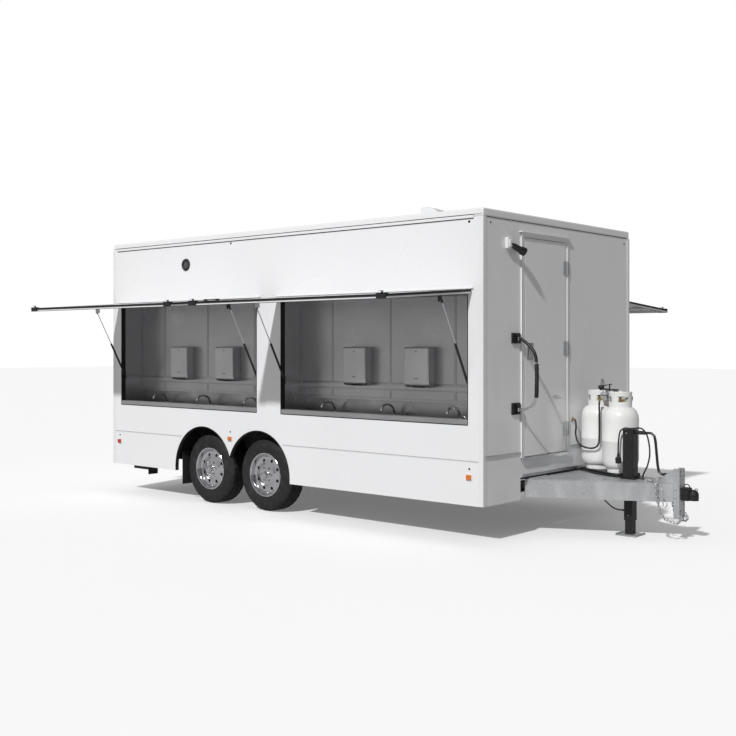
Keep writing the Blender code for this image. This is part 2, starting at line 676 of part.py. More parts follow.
# ---------------------------------------------------------------- hatches and gas struts
def build_hatch(side_name, end):
    """An awning leaf, a pan with its hollow side down, and one gas strut."""
    side = SIDES[side_name]
    front = BAY_FRONT_ENDS[end] + HATCH_OVERLAP
    rear = BAY_FRONT_ENDS[end] - BAY_WIDTH - HATCH_OVERLAP
    tag = f"{side_name}_{end}"

    def local_box(name, x_span, out_span, up_span, finish, edge=0.0):
        ys = sorted((side * out_span[0], side * out_span[1]))
        return box(name, (x_span[0], ys[0], up_span[0]), (x_span[1], ys[1], up_span[1]),
                   finish, edge)

    leaf = local_box(f"hatch_{tag}", (rear, front), (0.004, HATCH_LENGTH), (0.0, HATCH_THICK),
                     WHITE, 0.003)
    rim = 0.025
    hollow = local_box(f"pan_{tag}", (rear + rim, front - rim), (0.004 + rim, HATCH_LENGTH - rim),
                       (-0.01, HATCH_THICK - 0.008), None)
    cut(leaf, [hollow])
    strut_x = BAY_FRONT_ENDS[end] - BAY_WIDTH + STRUT_INSET
    head_out = STRUT_HEAD[0] - HATCH_HINGE_OUT
    head_up = STRUT_HEAD[1] - HATCH_HINGE_Z
    along = head_out * math.cos(HATCH_TILT) - head_up * math.sin(HATCH_TILT)
    below = head_out * math.sin(HATCH_TILT) + head_up * math.cos(HATCH_TILT)
    bracket = local_box(f"bracket_{tag}", (strut_x + 0.012, strut_x + 0.017),
                        (along - 0.025, along + 0.025), (below - 0.012, HATCH_THICK - 0.004),
                        BLACK_STEEL)
    combine(leaf, [bracket])
    hinge = (0, side * (SIDE_Y + HATCH_HINGE_OUT), HATCH_HINGE_Z)
    pivot(f"hatch_hinge_{tag}", hinge, [leaf, hollow, bracket], -side * HATCH_TILT)

    reach = STRUT_HEAD[0] - STRUT_FOOT[0]
    rise = STRUT_HEAD[1] - STRUT_FOOT[1]
    length = math.hypot(reach, rise)
    lean = math.atan2(reach, rise)
    body = turned(f"strut_tube_{tag}", [
        (0.0, 0.010), (0.0062, 0.010), (0.0062, STRUT_TUBE_LENGTH),
        (0.0105, STRUT_TUBE_LENGTH), (0.0105, 0.012), (0.006, -0.010), (0.0, -0.010)],
        BLACK_STEEL, 10)
    rod_start = STRUT_TUBE_LENGTH - 0.015
    rod = turned(f"strut_rod_{tag}", [(0.0, length + 0.009), (0.008, length + 0.005),
                                      (0.008, length - 0.010), (0.0045, length - 0.020),
                                      (0.0045, rod_start), (0.0, rod_start)], CHROME, 10)
    pivot(f"strut_foot_{tag}", (strut_x, side * (SIDE_Y + STRUT_FOOT[0]), STRUT_FOOT[1]),
          [body, rod], -side * lean)


# ---------------------------------------------------------------- gas, water and electrics
def build_tank(end):
    """A propane cylinder with its foot ring and guard collar."""
    shell = 0.004
    tank = turned(f"propane_tank_{end}", [
        (0.0, 0.640), (0.030, 0.640), (0.030, 0.580), (0.088, 0.566), (0.092, 0.690),
        (0.098, 0.690), (0.096, 0.562), (0.130, 0.535), (0.150, 0.495), (TANK_RADIUS, 0.450),
        (TANK_RADIUS, 0.100), (0.146, 0.050), (0.118, 0.0), (0.110, 0.0), (0.138, 0.050),
        (TANK_RADIUS - shell, 0.102), (TANK_RADIUS - shell, 0.448), (0.146, 0.492),
        (0.126, 0.530), (0.0, 0.562)], TANK_WHITE, 20)
    tank.location = (*TANK_CENTRES[end], TANK_BASE)


def build_rack():
    """The tray under both cylinders with its hold-down rod and cross bar."""
    front, rear = Vector(TANK_CENTRES["front"]), Vector(TANK_CENTRES["rear"])
    middle = (front + rear) / 2
    line = front - rear
    heading = math.atan2(line.y, line.x)
    tray_bottom = FRAME_TOP + 0.0043
    tray = box("tank_rack", (-0.285, -0.12, tray_bottom), (0.285, 0.12, TANK_BASE - 0.0003),
               BLACK_STEEL, edge=0.004)
    rod = cylinder("hold_down_rod", 0.006, 0.76, (0, 0, TANK_BASE + 0.37), "Z", BLACK_STEEL, 8)
    bar = box("hold_down_bar", (-0.11, -0.02, TANK_BASE + 0.694),
              (0.11, 0.02, TANK_BASE + 0.706), BLACK_STEEL)
    combine(tray, [rod, bar])
    for part in (tray, rod, bar):
        part.matrix_world = (Matrix.Translation((middle.x, middle.y, part.location.z))
                             @ Matrix.Rotation(heading, 4, "Z"))


GAS_HOSE_ROUTE = [(0.004, 0.150, 0.930), (0.030, 0.150, 0.925), (0.048, 0.135, 0.870),
                  (0.050, 0.125, 0.800), (0.085, 0.115, 0.725), (0.150, 0.112, 0.695),
                  (0.220, 0.120, 0.690), (0.268, 0.128, 0.720), (0.280, 0.128, 0.800),
                  (0.280, 0.128, 0.950), (0.280, 0.128, 1.080), (0.284, 0.134, 1.130)]
CABLE_ROUTE = [(0.735, 0.034, 0.4712), (0.740, 0.034, 0.510), (0.775, 0.034, 0.580),
               (0.797, 0.034, 0.670), (0.793, 0.034, 0.760), (0.768, 0.034, 0.850),
               (0.725, 0.028, 0.894), (0.680, 0.010, 0.893), (0.640, -0.010, 0.890),
               (0.595, -0.020, 0.892), (0.567, -0.035, 0.870), (0.558, -0.045, 0.810),
               (0.555, -0.050, 0.740), (0.555, -0.050, 0.680)]
PLUG_LENGTH = 0.085


def build_lines():
    """The gas hose, and the trailer cable draped over the jack with its plug."""
    ahead = Vector((FRONT_X, 0, 0))
    tube("gas_hose", smooth_route([ahead + Vector(p) for p in GAS_HOSE_ROUTE], 0.022), 0.008,
         HOSE_RUBBER, 2)
    tube("trailer_cable", smooth_route([ahead + Vector(p) for p in CABLE_ROUTE], 0.018), 0.0065,
         HOSE_RUBBER, 2)
    plug = turned("trailer_plug", [(0.0, 0.0), (0.012, 0.0), (0.016, -0.030), (0.025, -0.034),
                                   (0.025, -PLUG_LENGTH), (0.0, -PLUG_LENGTH)], BLACK_STEEL, 12)
    plug.location = ahead + Vector(CABLE_ROUTE[-1]) - Vector((0, 0, GAP))


def build_services():
    """Fresh water tank and water heater in the service room."""
    middle = sum(WHEEL_X.values()) / 2
    box("fresh_water_tank", (middle - 0.38, -0.45, FLOOR_TOP + GAP),
        (middle + 0.38, 0.45, 1.25), TANK_PLASTIC, edge=0.03)
    box("water_heater", (REAR_X + WALL + GAP, -0.20, 1.45), (REAR_X + 0.25, 0.20, 2.15),
        WHITE, edge=0.01)


# ---------------------------------------------------------------- assembly
build_chassis()
build_tongue()
build_jack()
build_coupler()
build_floor()
build_end_walls()
build_roof()
build_door()
build_grab_handle()
build_rack()
build_lines()
build_services()
for end_name in ENDS:
    build_axle(end_name)
    build_tank(end_name)
for side_word in SIDES:
    build_side_wall(side_word)
    build_stabiliser(side_word)
    for end_name in ENDS:
        build_wheel(side_word, end_name)
        build_sink_bay(side_word, end_name)
        build_hatch(side_word, end_name)
for end_name in ENDS:
    build_faucet_row("right", end_name)
    for number in (0, 1):
        build_dispenser("right", end_name, number)
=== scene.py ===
"""Looks of the handwash trailer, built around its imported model.

Metres, in the row frame: +X forward to the hitch, -Y the curb side, +Z up. Places come from the
CAD nodes' boxes and from the few driving dimensions below.
"""

import math

import bmesh
import bpy
from mathutils import Matrix, Vector


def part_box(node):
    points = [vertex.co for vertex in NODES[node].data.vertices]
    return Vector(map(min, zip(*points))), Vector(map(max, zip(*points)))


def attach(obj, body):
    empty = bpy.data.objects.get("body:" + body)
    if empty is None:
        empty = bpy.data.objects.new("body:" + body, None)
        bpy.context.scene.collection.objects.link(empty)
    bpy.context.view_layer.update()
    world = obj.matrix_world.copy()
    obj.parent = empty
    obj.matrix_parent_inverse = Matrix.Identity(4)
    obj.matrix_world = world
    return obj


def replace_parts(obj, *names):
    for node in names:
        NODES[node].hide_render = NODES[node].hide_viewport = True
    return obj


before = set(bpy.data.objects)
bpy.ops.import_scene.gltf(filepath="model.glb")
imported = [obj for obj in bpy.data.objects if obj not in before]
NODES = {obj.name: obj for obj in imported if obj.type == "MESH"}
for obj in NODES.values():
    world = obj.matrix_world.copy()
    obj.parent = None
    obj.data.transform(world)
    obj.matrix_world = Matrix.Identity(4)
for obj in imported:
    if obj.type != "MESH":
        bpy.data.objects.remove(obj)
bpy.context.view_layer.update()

# ---------------------------------------------------------------- places taken from the frame
FRONT_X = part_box("front_wall")[1].x
REAR_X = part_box("rear_wall")[0].x
SIDE_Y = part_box("side_wall_left")[1].y
ROOF_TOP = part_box("roof")[1].z
BODY_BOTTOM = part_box("side_wall_left")[0].z
DECK_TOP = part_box("tongue_frame")[1].z
JACK_LOW, JACK_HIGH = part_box("jack_housing")
JACK_X = (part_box("jack_leg")[0].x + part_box("jack_leg")[1].x) / 2
CHANNEL_LOW, CHANNEL_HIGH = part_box("coupler_channel")
SIDES = {"right": -1, "left": 1}
ENDS = ("front", "rear")
BAY = {}
for bay_end in ENDS:
    low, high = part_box(f"sink_bay_right_{bay_end}")
    BAY[bay_end] = (low.x - 0.004, high.x + 0.004)
FAUCET_X = {}
for bay_end in ENDS:
    low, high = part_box(f"faucet_row_right_{bay_end}")
    FAUCET_X[bay_end] = [low.x + 0.05, (low.x + high.x) / 2, high.x - 0.05]

# ---------------------------------------------------------------- camera
SENSOR_MM, LENS_MM, LENS_SHIFT = 36.0, 52.04, -0.0313
CAMERA_PLACE = (6.6465, -8.149, 1.588)
CAMERA_HEADING = math.radians(41.03)
camera_data = bpy.data.cameras.new("camera")
camera_data.sensor_width = SENSOR_MM
camera_data.lens = LENS_MM
camera_data.shift_y = LENS_SHIFT
camera = bpy.data.objects.new("camera", camera_data)
camera.location = CAMERA_PLACE
camera.rotation_euler = (math.radians(90), 0, CAMERA_HEADING)
bpy.context.scene.collection.objects.link(camera)
bpy.context.scene.camera = camera


# ---------------------------------------------------------------- materials
class Finish:
    """A Principled material whose colour, roughness and bump come from patterns on the surface."""

    def __init__(self, name, colour, roughness, metallic=0.0, coat=0.0, specular=0.5):
        self.material = bpy.data.materials.new(name)
        self.material.use_nodes = True
        self.tree = self.material.node_tree
        self.shader = self.tree.nodes["Principled BSDF"]
        self.shader.inputs["Metallic"].default_value = metallic
        self.shader.inputs["Coat Weight"].default_value = coat
        self.shader.inputs["Coat Roughness"].default_value = 0.06
        self.shader.inputs["Specular IOR Level"].default_value = specular
        self.shader.inputs["Roughness"].default_value = roughness
        self.shader.inputs["Base Color"].default_value = (*colour, 1.0)
        self.colour = tuple(colour)
        self.where = self.tree.nodes.new("ShaderNodeTexCoord")
        self.height = None

    def pattern(self, scale, stretch=(1, 1, 1), detail=4.0, kind="NOISE"):
        """A pattern's 0 to 1 output, with cells about 1 / scale metres across."""
        mapping = self.tree.nodes.new("ShaderNodeMapping")
        mapping.inputs["Scale"].default_value = stretch
        self.tree.links.new(self.where.outputs["Object"], mapping.inputs["Vector"])
        if kind == "NOISE":
            texture = self.tree.nodes.new("ShaderNodeTexNoise")
            texture.inputs["Detail"].default_value = detail
            out = texture.outputs["Fac"]
        else:
            texture = self.tree.nodes.new("ShaderNodeTexVoronoi")
            grey = self.tree.nodes.new("ShaderNodeSeparateColor")
            self.tree.links.new(texture.outputs["Color"], grey.inputs["Color"])
            out = grey.outputs["Red"]
        texture.inputs["Scale"].default_value = scale
        self.tree.links.new(mapping.outputs["Vector"], texture.inputs["Vector"])
        return out

    def spread(self, source, low, high, start=0.3, end=0.7):
        """Map a pattern from start..end to low..high."""
        node = self.tree.nodes.new("ShaderNodeMapRange")
        for name, value in (("From Min", start), ("From Max", end), ("To Min", low), ("To Max", high)):
            node.inputs[name].default_value = value
        self.tree.links.new(source, node.inputs["Value"])
        return node.outputs["Result"]

    def tint(self, source, other, low=0.0, high=1.0, start=0.3, end=0.7):
        """Mix another colour in where the pattern is high."""
        mix = self.tree.nodes.new("ShaderNodeMix")
        mix.data_type = "RGBA"
        base = self.shader.inputs["Base Color"]
        if base.is_linked:
            self.tree.links.new(base.links[0].from_socket, mix.inputs["A"])
        else:
            mix.inputs["A"].default_value = (*self.colour, 1.0)
        mix.inputs["B"].default_value = (*other, 1.0)
        self.tree.links.new(self.spread(source, low, high, start, end), mix.inputs["Factor"])
        self.tree.links.new(mix.outputs["Result"], base)
        return self

    def rough(self, source, low, high):
        """Roughness that follows a pattern."""
        self.tree.links.new(self.spread(source, low, high), self.shader.inputs["Roughness"])
        return self

    def bump(self, source, distance, strength=1.0):
        """Small relief that follows a pattern."""
        node = self.tree.nodes.new("ShaderNodeBump")
        node.inputs["Distance"].default_value = distance
        node.inputs["Strength"].default_value = strength
        self.tree.links.new(source, node.inputs["Height"])
        if self.height:
            self.tree.links.new(self.height, node.inputs["Normal"])
        self.height = node.outputs["Normal"]
        self.tree.links.new(self.height, self.shader.inputs["Normal"])
        return self


def white_gelcoat(name="gelcoat_white", colour=(0.83, 0.83, 0.84)):
    """Glossy gel coat: faint orange peel, slow waves and clouds of dust."""
    made = Finish(name, colour, 0.22, coat=0.25)
    made.tint(made.pattern(1.3, detail=1), (0.77, 0.78, 0.8), 0.0, 0.3)
    made.tint(made.pattern(0.8, (1.0, 1.0, 0.25), 2), (0.74, 0.74, 0.74), 0.0, 0.2)
    made.rough(made.pattern(2.0, detail=1), 0.18, 0.28)
    made.bump(made.pattern(90.0, detail=2), 0.00025, 0.35)
    return made.bump(made.pattern(1.1, detail=1), 0.003, 0.1).material


def brushed_steel(name="stainless_brushed", colour=(0.46, 0.46, 0.47), along=(1, 60, 60), low=0.24,
        high=0.4):
    """Brushed stainless sheet: long fine scratches and cloudy handling marks."""
    made = Finish(name, colour, 0.32, metallic=1.0)
    lines = made.pattern(9.0, along, 8)
    made.tint(made.pattern(2.6, detail=5), (0.42, 0.42, 0.43), 0.0, 0.6)
    made.tint(lines, (0.7, 0.7, 0.71), 0.0, 0.3)
    made.rough(made.pattern(3.5, detail=6), low, high)
    return made.bump(lines, 0.0006, 0.22).material


def galvanised_steel():
    """Hot-dip zinc: crystal spangle, dull streaks and runs."""
    made = Finish("galvanised_zinc", (0.5, 0.51, 0.52), 0.42, metallic=0.5)
    spangle = made.pattern(70.0, kind="CELLS")
    made.tint(spangle, (0.36, 0.37, 0.39), 0.0, 0.7, 0.2, 0.9)
    made.tint(made.pattern(7.0, (1, 1, 0.4), 6), (0.68, 0.69, 0.69), 0.0, 0.7, 0.45, 0.75)
    made.rough(spangle, 0.34, 0.56)
    return made.bump(made.pattern(140.0, detail=4), 0.0004, 0.4).material


def bright_chrome(name="chrome_bright", colour=(0.68, 0.68, 0.7)):
    """Polished plate with a thin film of dust."""
    made = Finish(name, colour, 0.08, metallic=1.0)
    made.tint(made.pattern(18.0, detail=6), (0.62, 0.62, 0.64), 0.0, 0.4, 0.45, 0.8)
    made.rough(made.pattern(30.0, detail=5), 0.05, 0.16)
    return made.bump(made.pattern(45.0, detail=2), 0.0003, 0.15).material


def black_paint(name="black_powder_coat", colour=(0.01, 0.01, 0.011)):
    """Semi-gloss powder coat with fine texture and rubbed spots."""
    made = Finish(name, colour, 0.4)
    made.tint(made.pattern(24.0, detail=8), (0.05, 0.049, 0.048), 0.0, 0.35, 0.55, 0.85)
    made.rough(made.pattern(40.0), 0.3, 0.55)
    return made.bump(made.pattern(420.0, detail=2), 0.0003, 0.5).material


def rubber(name, colour, grain, relief, low=0.55, high=0.8):
    """Moulded rubber or plastic with a dusty bloom."""
    made = Finish(name, colour, 0.7, specular=0.35)
    dusty = tuple(min(1.0, c * 2.4 + 0.012) for c in colour)
    made.tint(made.pattern(14.0, detail=7), dusty, 0.0, 0.5, 0.45, 0.8)
    made.rough(made.pattern(25.0), low, high)
    return made.bump(made.pattern(grain, detail=3), relief, 0.5).material


def cast_plastic(name, colour, low=0.25, high=0.42):
    """Smooth moulded or enamelled surface with slight unevenness."""
    made = Finish(name, colour, 0.3)
    darker = tuple(c * 0.86 for c in colour)
    made.tint(made.pattern(6.0, detail=5), darker, 0.0, 0.5)
    made.rough(made.pattern(18.0), low, high)
    return made.bump(made.pattern(260.0, detail=2), 0.0002, 0.3).material


def lens(name, colour):
    """Ribbed lamp lens."""
    made = Finish(name, colour, 0.12, coat=0.6)
    ribs = made.pattern(260.0, (1, 1, 0.15), 1)
    made.tint(made.pattern(60.0, detail=2), tuple(c * 0.45 for c in colour), 0.0, 0.8)
    made.rough(ribs, 0.08, 0.22)
    return made.bump(ribs, 0.0008, 0.6).material


WHITE = white_gelcoat()
TRIM_WHITE = white_gelcoat("gelcoat_trim", (0.8, 0.8, 0.81))
STEEL = brushed_steel()
CASE_STEEL = brushed_steel("stainless_case", (0.6, 0.6, 0.61), (60, 60, 1), 0.28, 0.42)
ALUMINIUM = brushed_steel("aluminium_mill", (0.74, 0.75, 0.76), (60, 60, 1), 0.26, 0.4)
ZINC = galvanised_steel()
CHROME = bright_chrome()
BLACK = black_paint()
FRAME_BLACK = black_paint("frame_satin_black", (0.03, 0.03, 0.033))
TYRE = rubber("tyre_rubber", (0.016, 0.016, 0.017), 300.0, 0.0006, 0.62, 0.85)
# The seal black also colours dark strips that are painted shade: in the door gap, under and above the roof
# rail, and along the skirt seam.
SEAL_AND_SHADE_BLACK = rubber("seal_rubber_and_painted_shade", (0.012, 0.012, 0.013), 380.0, 0.0003, 0.45, 0.65)
HOSE = rubber("hose_rubber", (0.014, 0.014, 0.015), 500.0, 0.0003, 0.4, 0.62)
BLACK_PLASTIC = rubber("black_plastic", (0.022, 0.022, 0.024), 350.0, 0.0003, 0.38, 0.55)
FLAP = rubber("mud_flap_rubber", (0.02, 0.02, 0.021), 160.0, 0.0006, 0.6, 0.8)
ENAMEL = cast_plastic("tank_enamel", (0.82, 0.82, 0.81), 0.16, 0.3)
POLY = cast_plastic("tank_polyethylene", (0.72, 0.75, 0.77), 0.38, 0.55)
UNDERBODY = rubber("underbody_coating", (0.03, 0.03, 0.03), 90.0, 0.0012, 0.6, 0.85)
AMBER = lens("lens_amber", (0.9, 0.22, 0.01))
RED = lens("lens_red", (0.62, 0.015, 0.012))
CLEAR = lens("lens_clear", (0.78, 0.79, 0.8))
BRASS = bright_chrome("brass_fitting", (0.7, 0.52, 0.24))


# ---------------------------------------------------------------- shape helpers
def frame_along(direction):
    """A rotation whose +Z is the direction."""
    return Vector(direction).to_track_quat("Z", "Y").to_matrix().to_4x4()


class Shape:
    """Gathers simple closed forms in one mesh, in row-frame places."""

    def __init__(self):
        self.bm = bmesh.new()

    def box(self, low, high, turn=None):
        low, high = Vector(low), Vector(high)
        middle = (low + high) / 2
        size = Matrix.Diagonal((*(abs(v) for v in high - low), 1.0))
        place = turn or Matrix.Identity(4)
        bmesh.ops.create_cube(self.bm, size=1.0, matrix=place @ Matrix.Translation(middle) @ size)
        return self

    def rod(self, start, end, radius, other=None, sides=20):
        """A cylinder or cone between two points."""
        start, end = Vector(start), Vector(end)
        place = Matrix.Translation((start + end) / 2) @ frame_along(end - start)
        bmesh.ops.create_cone(self.bm, cap_ends=True, segments=sides, radius1=radius,
            radius2=radius if other is None else other, depth=(end - start).length, matrix=place)
        return self

    def ball(self, centre, radius, sides=16, squash=(1, 1, 1)):
        place = Matrix.Translation(centre) @ Matrix.Diagonal((*squash, 1.0))
        bmesh.ops.create_uvsphere(self.bm, u_segments=sides, v_segments=sides // 2, radius=radius,
            matrix=place)
        return self

    def ring(self, place, radius, wire, sides=24, around=8, stretch=0.0):
        """A torus about the placed Z axis, or a chain link where stretch lengthens its X."""
        rows = []
        for n in range(sides):
            turn = 2 * math.pi * (n + 0.5) / sides
            out = Vector((math.cos(turn), math.sin(turn), 0))
            middle = out * radius + Vector((math.copysign(stretch, out.x), 0, 0))
            row = []
            for k in range(around):
                lean = 2 * math.pi * k / around
                spot = middle + out * wire * math.cos(lean) + Vector((0, 0, wire * math.sin(lean)))
                row.append(self.bm.verts.new(place @ spot))
            rows.append(row)
        for a, b in zip(rows, rows[1:] + rows[:1]):
            for k in range(around):
                j = (k + 1) % around
                self.bm.faces.new((a[k], b[k], b[j], a[j]))
        return self

    def sweep(self, route, radius, sides=12):
        """A round bar along a route, closed at both ends. radius may be one for each point."""
        route = [Vector(p) for p in route]
        radii = radius if isinstance(radius, list) else [radius] * len(route)
        heading = (route[1] - route[0]).normalized()
        side = heading.orthogonal().normalized()
        rings = []
        for n, spot in enumerate(route):
            ahead = route[min(n + 1, len(route) - 1)] - route[max(n - 1, 0)]
            ahead.normalize()
            side = (side - ahead * side.dot(ahead)).normalized()
            across = ahead.cross(side)
            rings.append([self.bm.verts.new(spot + radii[n] *
                (side * math.cos(2 * math.pi * k / sides) + across * math.sin(2 * math.pi * k / sides)))
                for k in range(sides)])
        for a, b in zip(rings, rings[1:]):
            for k in range(sides):
                j = (k + 1) % sides
                self.bm.faces.new((a[k], a[j], b[j], b[k]))
        self.bm.faces.new(list(reversed(rings[0])))
        self.bm.faces.new(rings[-1])
        return self

    def lathe(self, profile, place, steps=48):
        """Turn a profile of (radius, height) about the placed Z axis; ends at radius 0 close it."""
        rows = []
        for radius, height in profile:
            if radius < 1e-6:
                rows.append([self.bm.verts.new(place @ Vector((0, 0, height)))])
                continue
            rows.append([self.bm.verts.new(place @ Vector((radius * math.cos(2 * math.pi * n / steps),
                radius * math.sin(2 * math.pi * n / steps), height))) for n in range(steps)])
        for a, b in zip(rows, rows[1:]):
            for n in range(steps):
                m = (n + 1) % steps
                face = [a[n % len(a)], b[n % len(b)], b[m % len(b)], a[m % len(a)]]
                unique = list(dict.fromkeys(face))
                if len(unique) > 2:
                    self.bm.faces.new(unique)
        return self

    def prism(self, outline, place, thickness):
        """A flat plate of an outline in the placed XY plane, centred on its Z."""
        faces = []
        for z in (-thickness / 2, thickness / 2):
            faces.append([self.bm.verts.new(place @ Vector((x, y, z))) for x, y in outline])
        self.bm.faces.new(list(reversed(faces[0])))
        self.bm.faces.new(faces[1])
        count = len(outline)
        for n in range(count):
            m = (n + 1) % count
            self.bm.faces.new((faces[0][n], faces[0][m], faces[1][m], faces[1][n]))
        return self

    def piece(self, name, finish, edge=0.0, **rest):
        """Make the object, ride it on its body, and round its edges."""
        bmesh.ops.recalc_face_normals(self.bm, faces=self.bm.faces)
        mesh = bpy.data.meshes.new(name)
        self.bm.to_mesh(mesh)
        self.bm.free()
        return finish_piece(name, mesh, finish, edge, **rest)


def finish_piece(name, mesh, finish, edge=0.0, segments=2, smooth=0.7, body="trailer", slot=None):
    """An object of a mesh with its material, shading, rounded edges and body. The slot argument is not
    used.
    """
    made = bpy.data.objects.new(name, mesh)
    bpy.context.scene.collection.objects.link(made)
    mesh.materials.clear()
    mesh.materials.append(finish)
    mesh.shade_smooth()
    mesh.set_sharp_from_angle(angle=smooth)
    if edge:
        rounding = made.modifiers.new("edge", "BEVEL")
        rounding.width = edge
        rounding.segments = segments
        rounding.limit_method = "ANGLE"
        rounding.angle_limit = 0.6
    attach(made, body)
    return made


def smooth_route(points, spacing):
    """Points along a smooth curve through the given ones, about one spacing apart."""
    points = [Vector(p) for p in points]
    ends = [2 * points[0] - points[1], *points, 2 * points[-1] - points[-2]]
    route = []
    for a, b, c, d in zip(ends, ends[1:], ends[2:], ends[3:]):
        count = max(1, round((c - b).length / spacing))
        for step in range(count):
            t = step / count
            route.append(0.5 * (2 * b + (c - a) * t + (2 * a - 5 * b + 4 * c - d) * t ** 2 +
                (3 * b - a - 3 * c + d) * t ** 3))
    route.append(points[-1])
    return route


def from_wall(*spots):
    """Row-frame places of points given ahead of the front wall's face."""
    return [Vector((FRONT_X + x, y, z)) for x, y, z in spots]


# ---------------------------------------------------------------- cords
CABLE_RADIUS = 0.0065
CABLE_ROUTE = [(0.735, 0.034, 0.4712), (0.74, 0.034, 0.51), (0.775, 0.034, 0.58), (0.797, 0.034, 0.67),
    (0.793, 0.034, 0.76), (0.768, 0.034, 0.85), (0.725, 0.028, 0.894), (0.68, 0.01, 0.893),
    (0.64, -0.01, 0.89), (0.595, -0.02, 0.892), (0.567, -0.035, 0.87), (0.558, -0.045, 0.81),
    (0.555, -0.05, 0.74), (0.555, -0.05, 0.68)]


def build_cable():
    """The trailer cable from the deck over the jack's top, with its plug hanging at the end."""
    route = smooth_route(from_wall(*CABLE_ROUTE), 0.026)
    curve = bpy.data.curves.new("trailer_cable_cord", "CURVE")
    curve.dimensions = "3D"
    curve.bevel_depth = CABLE_RADIUS
    curve.bevel_resolution = 4
    curve.use_fill_caps = True
    spline = curve.splines.new("POLY")
    spline.points.add(len(route) - 1)
    for point, spot in zip(spline.points, route):
        point.co = (*spot, 1.0)
    spline.use_smooth = True
    cable = bpy.data.objects.new("trailer_cable_cord", curve)
    bpy.context.scene.collection.objects.link(cable)
    curve.materials.append(HOSE)
    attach(cable, "trailer")
    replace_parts(cable, "trailer_cable")

    end = route[-1]
    plug = Shape()
    down = Matrix.Translation(end)
    plug.lathe([(0, 0.001), (0.0085, 0.0), (0.0105, -0.01), (0.0105, -0.014), (0.0125, -0.016),
        (0.0125, -0.02), (0.0105, -0.022), (0.016, -0.032), (0.0245, -0.036), (0.025, -0.04),
        (0.025, -0.06), (0.0235, -0.062), (0.0235, -0.078), (0.022, -0.08), (0.022, -0.084),
        (0.019, -0.084), (0.019, -0.07), (0, -0.07)], down, 32)
    plug.box((end.x - 0.006, end.y - 0.0275, end.z - 0.076), (end.x + 0.006, end.y - 0.02,
        end.z - 0.04))
    made = plug.piece("trailer_plug_body", BLACK_PLASTIC)
    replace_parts(made, "trailer_plug")
    gland = Shape().lathe([(0, 0.022), (0.0075, 0.022), (0.01, 0.01), (0.014, 0.004), (0.018, 0.002),
        (0.018, 0.0), (0, 0.0)], Matrix.Translation(route[0] - Vector((0, 0, 0.0005))), 24)
    gland.piece("cable_gland", BLACK_PLASTIC)


build_cable()


# ---------------------------------------------------------------- carried-over CAD nodes
def paint(finish, *names):
    """Give CAD nodes their finished material."""
    for name in names:
        mesh = NODES[name].data
        mesh.materials.clear()
        mesh.materials.append(finish)


paint(WHITE, "side_wall_right", "side_wall_left", "front_wall", "rear_wall", "roof", "roof_vent",
    "entry_door", "water_heater")
paint(UNDERBODY, "floor")
paint(POLY, "fresh_water_tank")
paint(FRAME_BLACK, "chassis_frame", "axle_front", "axle_rear")
paint(ZINC, "tongue_frame", "coupler_channel")
paint(BLACK, "coupler_head", "coupler_latch", "jack_housing", "jack_crank", "jack_leg", "tank_rack",
    "stabiliser_right", "stabiliser_left")
for side_name in SIDES:
    for end_name in ENDS:
        tag = f"{side_name}_{end_name}"
        paint(STEEL, f"sink_bay_{tag}")
        paint(WHITE, f"hatch_{tag}")
        paint(BLACK, f"strut_tube_{tag}")
        paint(CHROME, f"strut_rod_{tag}")


def cut_mesh(shape, cutter):
    """The shape's mesh with the cutter's forms taken out."""
    made = []
    for part in (shape, cutter):
        bmesh.ops.recalc_face_normals(part.bm, faces=part.bm.faces)
        mesh = bpy.data.meshes.new("cut")
        part.bm.to_mesh(mesh)
        part.bm.free()
        made.append(bpy.data.objects.new("cut", mesh))
        bpy.context.scene.collection.objects.link(made[-1])
    step = made[0].modifiers.new("cut", "BOOLEAN")
    step.object = made[1]
    bpy.context.view_layer.update()
    graph = bpy.context.evaluated_depsgraph_get()
    result = bpy.data.meshes.new_from_object(made[0].evaluated_get(graph))
    for spare in made:
        bpy.data.objects.remove(spare)
    return result


def outward(side, x, z, out=0.0):
    """A place on a side wall: local X along the body, Y up, Z straight out of the wall."""
    return Matrix(((1, 0, 0, x), (0, 0, side, side * (SIDE_Y + out)), (0, 1, 0, z), (0, 0, 0, 1)))


def across(side, x):
    """A place for outlines of (outward, height) with their thickness along X."""
    return Matrix(((0, 0, 1, x), (side, 0, 0, side * SIDE_Y), (0, 1, 0, 0), (0, 0, 0, 1)))


# ---------------------------------------------------------------- wheels and tyres
TYRE_HALF = [(0.2125, 0.096), (0.215, 0.101), (0.223, 0.0995), (0.2285, 0.1025), (0.25, 0.1066),
    (0.26, 0.1073), (0.2625, 0.1058), (0.266, 0.1058), (0.2685, 0.1071), (0.29, 0.1062), (0.305, 0.103),
    (0.308, 0.1008), (0.3115, 0.1018), (0.327, 0.095), (0.34, 0.085), (0.3455, 0.076), (0.3478, 0.066),
    (0.348, 0.057), (0.34, 0.056), (0.34, 0.049), (0.348, 0.048), (0.3482, 0.023), (0.34, 0.022),
    (0.34, 0.015), (0.3482, 0.014)]
TYRE_STEPS = 144
HAND_HOLES = 8
LUGS = 6


